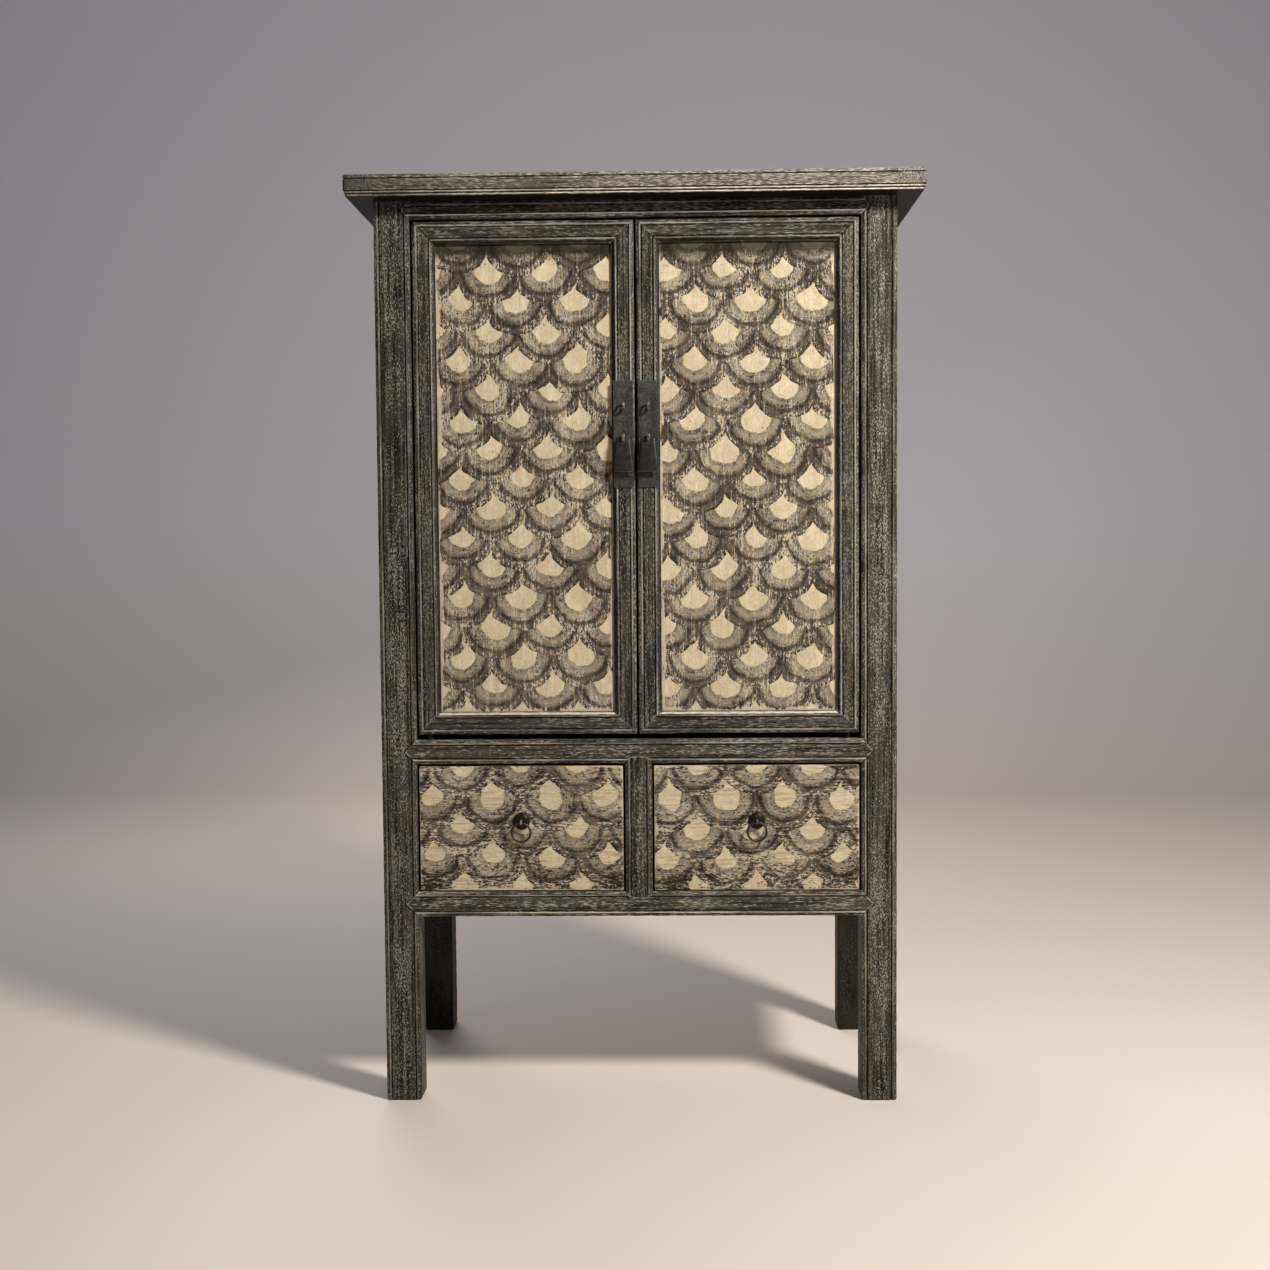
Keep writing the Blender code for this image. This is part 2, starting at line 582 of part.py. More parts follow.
def strap_rings(path, middle_x, width, thickness):
    """A flat strap's section at each point of its path, square to the path and mitred at its bends."""
    points = [Vector(point) for point in path]
    rings = []
    for index, point in enumerate(points):
        before = (point - points[index - 1]).normalized() if index else None
        after = (points[index + 1] - point).normalized() if index + 1 < len(points) else before
        before = before or after
        tangent = (before + after).normalized()
        normal = Vector((-tangent.y, tangent.x)) * (thickness / 2 / tangent.dot(after))
        outer = point + normal
        inner = point - normal
        left = middle_x - width / 2
        right = middle_x + width / 2
        rings.append([(left, outer.x, outer.y), (right, outer.x, outer.y),
                      (right, inner.x, inner.y), (left, inner.x, inner.y)])
    return rings


def make_strap(name, receivers, middle_x, eye, back_y, sizes, finish):
    """A staple or cotter with its eye at (y, z), through slots in the pieces it holds."""
    width, thickness, eye_radius = sizes
    eye_y, eye_z = eye
    path = strap_path(eye_radius, thickness, eye_y, back_y, eye_z)
    add_piece(name, strap_rings(path, middle_x, width, thickness), finish)
    half_height = thickness + STRAP_LEG_GAP / 2
    low = (middle_x - width / 2, eye_y + eye_radius, eye_z - half_height)
    high = (middle_x + width / 2, back_y + thickness, eye_z + half_height)
    for receiver in receivers:
        house(receiver, low, high, STRAP_CLEARANCE)


def make_pull(name, middle_x, eye_y, finish):
    """A hanging pull: a tapered plate with a crowned front, on the lower curve of its staple's eye."""
    strap_top = PULL_STAPLE_HEIGHT - STAPLE_EYE_RADIUS + STAPLE_THICKNESS / 2
    hole_top = strap_top + PULL_SEAT_GAP
    top_z = hole_top + PULL_BRIDGE
    shares = [2 * step / PULL_STEPS - 1 for step in range(PULL_STEPS + 1)]
    back = PULL_THICKNESS / 2
    ends = ((top_z - PULL_LENGTH, PULL_BOTTOM_WIDTH, PULL_CROWN), (top_z, PULL_TOP_WIDTH, 0.0))
    rings = []
    for z, width, crown in ends:
        face = [(share * width / 2, -back - crown * (1 - share**2)) for share in shares]
        outline = face + [(width / 2, back), (-width / 2, back)]
        rings.append([(middle_x + x, eye_y + y, z) for x, y in outline])
    add_piece(name, rings, finish)
    half_hole = STAPLE_WIDTH / 2 + STRAP_CLEARANCE
    hole_low = (middle_x - half_hole, eye_y - STAPLE_EYE_RADIUS, hole_top - PULL_HOLE_HEIGHT)
    hole_high = (middle_x + half_hole, eye_y + STAPLE_EYE_RADIUS, hole_top)
    house(name, hole_low, hole_high, 0.0)


def make_door_ironwork(side, sign, finish):
    """A plate on the meeting stile, a lock staple, and a staple with a pull. Returns the pull's axis."""
    middle_x = sign * (DOOR_MEETING_GAP / 2 + DOOR_FRAME_WIDTH / 2)
    plate_back = DOOR_FRONT_Y - FIT
    plate_front = plate_back - PLATE_THICKNESS
    low = (middle_x - PLATE_WIDTH / 2, plate_front, PLATE_MIDDLE_HEIGHT - PLATE_HEIGHT / 2)
    high = (middle_x + PLATE_WIDTH / 2, plate_back, PLATE_MIDDLE_HEIGHT + PLATE_HEIGHT / 2)
    plate = f"{side}_door_plate"
    add_piece(plate, box_rings(low, high), finish)
    eye_y = plate_front - STAPLE_STANDOFF
    sizes = (STAPLE_WIDTH, STAPLE_THICKNESS, STAPLE_EYE_RADIUS)
    for staple, height in (("lock_staple", LOCK_STAPLE_HEIGHT), ("pull_staple", PULL_STAPLE_HEIGHT)):
        make_strap(f"{side}_door_{staple}", (plate, f"{side}_door_meeting_stile"), middle_x,
                   (eye_y, height), DOOR_BACK_Y, sizes, finish)
    make_pull(f"{side}_door_pull", middle_x, eye_y, finish)
    return middle_x, eye_y, PULL_STAPLE_HEIGHT


def dome_arc(radius, height):
    """Points, as (radius, height), down a dome from its middle hole to its rim."""
    start = math.asin(ROSE_HOLE_RADIUS / radius)
    turns = [start + (math.pi / 2 - start) * step / ROSE_STEPS for step in range(ROSE_STEPS + 1)]
    return [(radius * math.sin(turn), height * math.cos(turn)) for turn in turns]


def make_rose(name, centre_x, back_y, finish):
    """A thin domed rose with a hole in its middle, on a drawer front."""
    outside = dome_arc(ROSE_RADIUS, ROSE_HEIGHT)
    inside = dome_arc(ROSE_RADIUS - ROSE_SHEET, ROSE_HEIGHT - ROSE_SHEET)
    profile = outside + inside[::-1]
    rings = []
    for step in range(ROSE_SIDES):
        turn = 2 * math.pi * step / ROSE_SIDES
        rings.append([(centre_x + r * math.cos(turn), back_y - h, RING_PULL_HEIGHT + r * math.sin(turn))
                      for r, h in profile])
    piece = add_piece(name, rings, finish, closed_loop=True)
    piece.data.shade_smooth()
    piece.data.set_sharp_from_angle(angle=math.radians(ROSE_RIM_ANGLE_DEG))


def make_ring(name, centre_x, eye_y, axis_z, finish):
    """A round wire ring that hangs by its top in a cotter's eye."""
    middle_radius = RING_RADIUS - RING_WIRE_RADIUS
    centre_z = axis_z - middle_radius
    rings = []
    for step in range(RING_STEPS):
        turn = 2 * math.pi * step / RING_STEPS
        ring = []
        for side in range(WIRE_SIDES):
            angle = 2 * math.pi * side / WIRE_SIDES
            reach = middle_radius + RING_WIRE_RADIUS * math.cos(angle)
            ring.append((centre_x + reach * math.cos(turn), eye_y + RING_WIRE_RADIUS * math.sin(angle),
                         centre_z + reach * math.sin(turn)))
        rings.append(ring)
    piece = add_piece(name, rings, finish, closed_loop=True)
    piece.data.shade_smooth()


def make_drawer_ironwork(side, sign, finish):
    """A rose, its cotter and a ring in the middle of a drawer front. Returns the ring's axis."""
    centre_x = sign * (DIVIDER_WIDTH / 2 + INNER_X) / 2
    rose_back = DRAWER_FRONT_Y - FIT
    make_rose(f"{side}_drawer_rose", centre_x, rose_back, finish)
    eye_y = rose_back - ROSE_HEIGHT - COTTER_STANDOFF
    sizes = (COTTER_WIDTH, COTTER_THICKNESS, COTTER_EYE_RADIUS)
    make_strap(f"{side}_drawer_cotter", (f"{side}_drawer_front",), centre_x,
               (eye_y, RING_PULL_HEIGHT), DRAWER_BOX_Y, sizes, finish)
    seat_z = RING_PULL_HEIGHT - COTTER_EYE_RADIUS + COTTER_THICKNESS / 2
    axis_z = seat_z + RING_SEAT_GAP + RING_WIRE_RADIUS
    make_ring(f"{side}_drawer_ring", centre_x, eye_y, axis_z, finish)
    return centre_x, eye_y, axis_z


def add_axis(name, place, parent):
    """An empty on a joint's axis, which carries the pieces that move about it."""
    axis = bpy.data.objects.new(name, None)
    bpy.context.collection.objects.link(axis)
    axis.parent = parent
    axis.location = Vector(place) - (parent.matrix_world.translation if parent else Vector())
    bpy.context.view_layer.update()
    return axis


def hang_pieces(axes):
    """Moves each piece's origin to the axis that carries it; the pieces stay in place."""
    cabinet = add_axis("cabinet", (0.0, 0.0, 0.0), None)
    carriers = {}
    for side in SIDES:
        door_place, pull_place, drawer_place, ring_place = axes[side]
        door = add_axis(f"{side}_door_axis", door_place, cabinet)
        drawer = add_axis(f"{side}_drawer_axis", drawer_place, cabinet)
        carriers[f"{side}_door"] = door
        carriers[f"{side}_drawer"] = drawer
        carriers[f"{side}_door_pull"] = add_axis(f"{side}_pull_axis", pull_place, door)
        carriers[f"{side}_drawer_ring"] = add_axis(f"{side}_ring_axis", ring_place, drawer)
    for piece in [item for item in bpy.data.objects if item.type == "MESH"]:
        group = "_".join(piece.name.split("_")[:2])
        carrier = carriers.get(piece.name) or carriers.get(group, cabinet)
        piece.data.transform(Matrix.Translation(-carrier.matrix_world.translation))
        piece.parent = carrier


def main():
    for item in list(bpy.data.objects):
        bpy.data.objects.remove(item)
    frame_finish = make_finish("worn_dark_lacquer", (0.045, 0.040, 0.033), 0.55, 0.0)
    panel_finish = make_finish("painted_panel", (0.230, 0.195, 0.135), 0.65, 0.0)
    inside_finish = make_finish("bare_wood", (0.210, 0.135, 0.075), 0.75, 0.0)
    iron_finish = make_finish("black_iron", (0.012, 0.011, 0.011), 0.45, 0.85)
    make_top(frame_finish)
    make_posts(frame_finish)
    make_front_frame(frame_finish)
    make_sides(frame_finish)
    make_back(frame_finish)
    make_inside(inside_finish)
    axes = {}
    for side, sign in SIDES.items():
        door_place = make_door(side, sign, frame_finish, panel_finish)
        pull_place = make_door_ironwork(side, sign, iron_finish)
        drawer_place = make_drawer(side, sign, panel_finish, inside_finish)
        ring_place = make_drawer_ironwork(side, sign, iron_finish)
        axes[side] = (door_place, pull_place, drawer_place, ring_place)
    make_joints()
    hang_pieces(axes)


main()
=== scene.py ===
"""The looks of a free-standing painted cabinet: worn dark lacquer, fish-scale paint and black iron.

Metres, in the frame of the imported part: +Z up, the front towards -Y.
"""

import json
import math

import bmesh
import bpy
from mathutils import Matrix, Vector


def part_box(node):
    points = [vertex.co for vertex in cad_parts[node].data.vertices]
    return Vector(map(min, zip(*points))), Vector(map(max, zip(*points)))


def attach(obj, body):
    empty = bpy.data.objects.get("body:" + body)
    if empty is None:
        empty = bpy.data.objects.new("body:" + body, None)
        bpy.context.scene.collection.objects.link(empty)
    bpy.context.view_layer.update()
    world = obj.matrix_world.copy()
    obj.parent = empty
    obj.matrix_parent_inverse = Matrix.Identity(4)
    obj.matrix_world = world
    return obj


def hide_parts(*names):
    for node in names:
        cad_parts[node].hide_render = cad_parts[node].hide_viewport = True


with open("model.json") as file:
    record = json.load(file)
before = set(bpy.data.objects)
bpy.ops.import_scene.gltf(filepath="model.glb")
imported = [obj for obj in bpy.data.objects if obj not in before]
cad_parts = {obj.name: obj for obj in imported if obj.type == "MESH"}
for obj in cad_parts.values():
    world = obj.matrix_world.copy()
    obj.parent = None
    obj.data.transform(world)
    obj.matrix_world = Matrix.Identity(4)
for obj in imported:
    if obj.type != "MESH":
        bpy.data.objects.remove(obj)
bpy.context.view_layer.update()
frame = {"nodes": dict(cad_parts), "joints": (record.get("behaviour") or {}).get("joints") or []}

X = Vector((1, 0, 0))
Y = Vector((0, 1, 0))
Z = Vector((0, 0, 1))
SIDES = {"left": -1, "right": 1}
FRONT_RAILS = ("front_top_rail", "front_middle_rail", "front_bottom_rail")

# Mouldings
BEAD_WIDTH = 0.0105
BEAD_LEAN = 1.94
BEAD_DEPTH = 0.0028
BEAD_STEPS = 8
CROWN_FALL = 1.5
QUIRK_WIDTH = 0.0026
QUIRK_TURN = 0.6 * QUIRK_WIDTH
QUIRK_MIDDLE = 0.35 * QUIRK_WIDTH
ARRIS = 0.0012
TOP_BEAD_WIDTH = 0.0052
DOOR_INNER_BEAD_WIDTH = 0.0065
DOOR_BEVEL_WIDTH = 0.0055
DOOR_BEVEL_DEPTH = 0.0065
EASE = 0.0016
EASE_MIDDLE = 0.3 * EASE
MITRE_GAP = 0.0002

# Pointed shoulders where the front rails meet the posts
SHOULDER_DEPTH = 0.005
SHOULDER_GAP = 0.0003

# Divider between the drawers
DIVIDER_PROUD = 0.0012
DIVIDER_LAP = 0.013
DIVIDER_TAB = (0.020, 0.013)
DIVIDER_WEAR = 0.0002

# Spacing of the points along and across a member, and round a bend
STATION_STEP = 0.006
END_LINE = 0.0010
ROUND_STEPS = 8
BEND_STEPS = 4
SLIVER = 0.14
FACE_STEP = 0.010

# How far a place stands out to be rubbed: 0 in a groove, 1 on a crown or an edge
EDGE = 0.93
FLAT = 0.30
MARGIN = 0.17
BEAD_CROWN = 1.12
# Painted shade: the crown of an upper or right-hand bead is kept darker.
SHADED_CROWN = 0.95
TAB_OUTLINE = 1.40
DARK_BEVEL = 0.10
# The bottom rails' ledge is rubbed bare, and made paler still as painted light on the upturned ledge.
BARE_AND_LIT_LEDGE = 1.40
TOP_ARRIS = 0.7

# Wear of the wood: chips and ripples as the scale and detail of their noise
EDGE_WEAR = 0.0011
RIPPLE = 0.0004
CHIPS = (55.0, 4.0)
WAVES = (16.0, 2.0)
CHIP_SPAN = (0.42, 0.72)
CROWN_SPAN = (0.40, 0.90)
SEED_STEP = 0.37
FACING_FRONT = -0.5
FOOT_ROUND = 0.003
FOOT_LINE = 0.4 * FOOT_ROUND
SHARP_ANGLE = math.radians(38)

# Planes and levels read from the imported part
POST_LOW, POST_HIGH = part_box("post_front_right")
FRONT = POST_LOW.y
INNER = POST_LOW.x
OUTER = POST_HIGH.x
POST_SIZE = OUTER - INNER
BODY_TOP = POST_HIGH.z
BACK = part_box("post_back_right")[1].y


class Value:
    """A node's result, which can be reckoned with as a number can."""

    def __init__(self, nodes, socket):
        self.nodes = nodes
        self.socket = socket

    def __add__(self, other):
        return self.nodes.maths("ADD", self, other)

    def __sub__(self, other):
        return self.nodes.maths("SUBTRACT", self, other)

    def __rsub__(self, other):
        return self.nodes.maths("SUBTRACT", other, self)

    def __mul__(self, other):
        return self.nodes.maths("MULTIPLY", self, other)

    def __truediv__(self, other):
        return self.nodes.maths("DIVIDE", self, other)


class Nodes:
    """A node tree in the making: each call adds a node and gives its result."""

    def __init__(self, tree):
        self.tree = tree

    def feed(self, socket, value):
        """Links a result to an input, or sets the input to a plain value."""
        if isinstance(value, Value):
            self.tree.links.new(value.socket, socket)
        else:
            socket.default_value = value

    def node(self, kind, inputs, result=0, **settings):
        """A node with its settings made and its inputs fed: its named result, or all of them for None."""
        made = self.tree.nodes.new(kind)
        for name, value in settings.items():
            setattr(made, name, value)
        for index, value in inputs.items():
            self.feed(made.inputs[index], value)
        if result is None:
            return [Value(self, socket) for socket in made.outputs]
        return Value(self, made.outputs[result])

    def maths(self, operation, first, second=0.0):
        return self.node("ShaderNodeMath", {0: first, 1: second}, operation=operation)

    def span(self, value, low, high, start=0.0, end=1.0):
        """Runs from start to end as a value goes from low to high."""
        return self.node("ShaderNodeMapRange", {"Value": value, "From Min": low, "From Max": high,
                                                "To Min": start, "To Max": end})

    def between(self, share, start, end):
        """Runs from start to end as a share goes from 0 to 1."""
        return self.span(share, 0.0, 1.0, start, end)

    def split(self, vector):
        return self.node("ShaderNodeSeparateXYZ", {0: vector}, None)


class Finish(Nodes):
    """A node material in the making, with coats of colour laid one over another."""

    def __init__(self, name):
        self.material = bpy.data.materials.new(name)
        self.material.use_nodes = True
        super().__init__(self.material.node_tree)
        self.shader = self.tree.nodes["Principled BSDF"]
        self.place = self.node("ShaderNodeTexCoord", {}, "Object")
        self.colour = None

    def exposure(self):
        return self.node("ShaderNodeAttribute", {}, "Fac", attribute_name="exposure")

    def drawn_out(self, grain, share, shift=(0.0, 0.0, 0.0)):
        """The place, shifted, and squeezed along one axis so that a pattern is drawn out along it."""
        stretch = [1.0, 1.0, 1.0]
        stretch[grain] = share
        return self.node("ShaderNodeMapping", {"Vector": self.place, "Scale": stretch, "Location": shift})

    def noise(self, place, scale, detail=2.0, roughness=0.5):
        """Clouds of some waves per metre, finer with more detail and harsher with more roughness."""
        return self.node("ShaderNodeTexNoise", {"Vector": place, "Scale": scale, "Detail": detail,
                                                "Roughness": roughness})

    def pick(self, share, first, second):
        """A number between two others."""
        return self.node("ShaderNodeMix", {0: share, 2: first, 3: second})

    def blend(self, share, first, second, way="MIX"):
        """A colour between two others, or the first one changed by the second in another way."""
        under, over = (colour if isinstance(colour, Value) else (*colour, 1.0) for colour in (first, second))
        return self.node("ShaderNodeMix", {0: share, 6: under, 7: over}, 2, data_type="RGBA", blend_type=way)

    def coat(self, share, colour):
        """Lays a colour over the coats so far."""
        self.colour = self.blend(share, self.colour, colour)

    def tint(self, share, cool, warm):
        """Turns the coats so far cooler or warmer as a share goes from 0 to 1."""
        self.colour = self.blend(1.0, self.colour, self.blend(share, cool, warm), "MULTIPLY")

    def ramp(self, value, stops):
        """Colours along a value, from stops given as (value, colour)."""
        made = self.tree.nodes.new("ShaderNodeValToRGB")
        self.feed(made.inputs[0], value)
        elements = made.color_ramp.elements
        while len(elements) < len(stops):
            elements.new(1.0)
        for element, (position, colour) in zip(elements, stops):
            element.position = position
            element.color = (*colour, 1.0)
        return Value(self, made.outputs[0])

    def join(self, x, y, z):
        return self.node("ShaderNodeCombineXYZ", {0: x, 1: y, 2: z})

    def dice(self, vector):
        """Three random numbers for each whole-number place."""
        colour = self.node("ShaderNodeTexWhiteNoise", {"Vector": vector}, "Color")
        return self.node("ShaderNodeSeparateColor", {0: colour}, None)

    def surface(self, roughness, height, depth, gloss=0.5, metal=0.0):
        """Feeds the shader its coats, roughness and relief, and sets how glossy and metallic it is."""
        bump = self.node("ShaderNodeBump", {"Height": height, "Distance": depth, "Strength": 1.0})
        for name, value in (("Base Color", self.colour), ("Roughness", roughness), ("Normal", bump)):
            self.feed(self.shader.inputs[name], value)
        self.shader.inputs["Specular IOR Level"].default_value = gloss
        self.shader.inputs["Metallic"].default_value = metal
        return self.material


# Finishes

SPECKS_DRAWN_OUT = (0.15, 0.25, 0.42)
PATCHES_DRAWN_OUT = 0.35
STREAKS_DRAWN_OUT = 0.03
LEFT_SHADE_START = 0.42
LACQUER_BLACK = (0.0072, 0.0056, 0.0040)
LACQUER_OLIVE = (0.024, 0.0198, 0.0140)
LACQUER_BROWN = (0.026, 0.018, 0.012)
LACQUER_THIN = (0.062, 0.055, 0.045)
LACQUER_SPECK = (0.320, 0.293, 0.250)
LACQUER_RUBBED = (0.450, 0.408, 0.345)
LACQUER_BARE = (0.600, 0.550, 0.460)
LACQUER_COOL = (0.93, 1.00, 1.06)
LACQUER_WARM = (1.10, 1.00, 0.84)
LACQUER_RELIEF = 0.0008
LACQUER_GLOSS = 0.12


def lacquer(name, grain, worn=0.0, pale=1.0, lines=1.0, left_shade=None):
    """Dark lacquer, rubbed through in fine specks along the grain and along its edges.

    grain is the axis it runs along, worn how much more is rubbed through, pale how light the rubbed wood is,
    lines how clearly its edges are rubbed, and the last argument the stretch from the left over which a
    painted shade at the left end fades to that lightness.
    """
    finish = Finish(name)
    noise, span, blend, coat = finish.noise, finish.span, finish.blend, finish.coat
    thin, speck, rubbed = ([value * pale for value in colour]
                           for colour in (LACQUER_THIN, LACQUER_SPECK, LACQUER_RUBBED))
    # Painted shade: the colours darken towards the left end over the given stretch.
    if left_shade:
        share = span(finish.split(finish.place)[0], *left_shade, LEFT_SHADE_START, 1.0)
        thin, speck, rubbed = (blend(share, LACQUER_BLACK, colour) for colour in (thin, speck, rubbed))
    exposure = finish.exposure()
    specked, patched, streaked = (finish.drawn_out(grain, share) for share in
                                  (SPECKS_DRAWN_OUT[grain], PATCHES_DRAWN_OUT, STREAKS_DRAWN_OUT))

    tone = noise(patched, 26.0, 4.0, 0.6)
    streaks = noise(streaked, 220.0, 3.0, 0.65)
    crown = span(exposure, *CROWN_SPAN)
    finish.colour = blend(span(tone, 0.38, 0.62), LACQUER_BLACK, LACQUER_OLIVE)
    coat(crown * 0.4, LACQUER_BROWN)
    coat(span(streaks, 0.42 - worn, 0.64 - worn, 0.0, 0.90), thin)
    warmth = noise(patched, 45.0, 4.0, 0.7)
    finish.tint(span(warmth, 0.35, 0.65), LACQUER_COOL, LACQUER_WARM)

    field_share = span(exposure, 0.02, 0.28) * finish.between(crown, 1.0, 0.35)
    patches = noise(patched, 34.0, 3.0, 0.6) + streaks * 0.8
    patches = patches + span(noise(patched, 9.0, 2.0), 0.3, 0.7, -0.12, 0.12)
    fine = noise(specked, 540.0, 2.0, 0.6)
    cut = span(patches, 0.72 - worn, 1.08 - worn, 0.61, 0.49)
    specks = span(fine - cut, 0.0, 0.09) * field_share
    coat(specks * 0.78, speck)

    rub = span(exposure, 0.90, 0.99) * span(streaks, 0.35, 0.60, 0.4, 1.0)
    rub = rub * span(patches, 0.76, 0.98, 0.5 * lines, lines)
    coat(rub, rubbed)
    bare = span(exposure, 1.05, 1.35) * span(fine, 0.35, 0.50, 0.35, 1.0)
    coat(bare, LACQUER_BARE)
    groove = span(exposure, 0.0, 0.22, 0.9, 0.0)
    coat(groove, LACQUER_BLACK)
    roughness = finish.between(specks + rub, 0.52, 0.82)
    return finish.surface(roughness, streaks * 0.6 + specks * 0.35, LACQUER_RELIEF, LACQUER_GLOSS)


SCALE_PITCH = 0.1103
SCALE_RADIUS = 0.0655
SCALE_REACH = 1.08
SCALE_SWAY = 0.010
SCALE_POINT = 0.6
ROWS_NEAR = 3
BRUSH_WANDER = 0.009
PAINT_DRAWN_OUT = (0.45, 0.50, 0.45)
PAINT_CREAM = (0.555, 0.472, 0.320)
PAINT_FRESH = (0.680, 0.590, 0.420)
PAINT_ROSE = (0.535, 0.415, 0.298)
PAINT_SHADE = (0.175, 0.145, 0.085)
PAINT_LIGHT = (0.290, 0.248, 0.181)
PAINT_GREY = (0.192, 0.163, 0.117)
PAINT_DARK = (0.0150, 0.0107, 0.0058)
PAINT_GREYED = (0.030, 0.0235, 0.0155)
PAINT_WASH = (0.078, 0.066, 0.048)
PAINT_BARE = (0.520, 0.450, 0.335)
PAINT_STAIN = (0.250, 0.165, 0.085)
PAINT_COOL = (0.94, 1.00, 1.11)
PAINT_WARM = (1.06, 1.00, 0.90)
PAINT_RELIEF = 0.0005
PAINT_GLOSS = 0.10


def scale_row(paint, x, depth, row, rows, seed):
    """The nearest scale of a row: the reach from its centre, in radii, and its own random number."""
    row_step, first_lift = rows
    stagger = paint.maths("FLOORED_MODULO", row, 2.0) * (SCALE_PITCH / 2)
    column = paint.maths("ROUND", (x - stagger) / SCALE_PITCH)
    luck = paint.dice(paint.join(column + 0.5, row + 0.5, seed))
    sway_x, sway_z = (paint.between(share, -SCALE_SWAY / 2, SCALE_SWAY / 2) for share in luck[:2])
    off_x = x - (column * SCALE_PITCH + stagger) - sway_x
    lift = paint.maths("LESS_THAN", row, 0.5) * first_lift
    off_z = depth - (row * row_step - lift) - sway_z
    rise = paint.maths("MAXIMUM", off_z, off_z * SCALE_POINT)
    distance = paint.maths("SQRT", off_x * off_x + rise * rise)
    return {"reach": distance / SCALE_RADIUS, "turn": paint.maths("ARCTAN2", off_x, off_z), "luck": luck[2]}


def top_scale(paint, x, depth, rows, seed):
    """The scale that shows at a place: an upper row laps over the row below it."""
    first = paint.maths("CEIL", (depth - SCALE_RADIUS * SCALE_REACH) / rows[0])
    near = [first + float(step) for step in range(ROWS_NEAR)]
    scales = [scale_row(paint, x, depth, row, rows, seed) for row in near]
    shown = scales[-1]
    for scale in reversed(scales[:-1]):
        inside = paint.maths("LESS_THAN", scale["reach"], 1.0)
        shown = {key: paint.pick(inside, shown[key], scale[key]) for key in shown}
    return shown


# How the doors' and the drawers' scales were painted and worn: rows is the step down from a row to the next
# and how much higher the first row lies, grain the axis that the wood runs along, cream the radius of the pale
# middle in scale radii, the entry for the head how far the painted shadow at the head reaches, foot_wear how
# far the worn foot reaches, worn how much more is worn off, stain how brown the pale middles are, rim how wide
# the bare edge is, salt and soot how much more of the rest is in pale and in dark specks, and dark the colour
# of the outlines
DOOR_PAINT = {"rows": (0.0558, 0.0), "grain": 2, "cream": 0.380, "head_shadow": 0.030, "foot_wear": 0.001,
              "worn": 0.0, "stain": 0.25, "rim": 0.005, "salt": 0.01, "soot": 0.0, "dark": PAINT_GREYED}
DRAWER_PAINT = {"rows": (0.0543, 0.010), "grain": 0, "cream": 0.350, "head_shadow": 0.0005, "foot_wear": 0.075,
                "worn": 0.06, "stain": 0.65, "rim": 0.0015, "salt": 0.03, "soot": 0.04, "dark": PAINT_DARK}


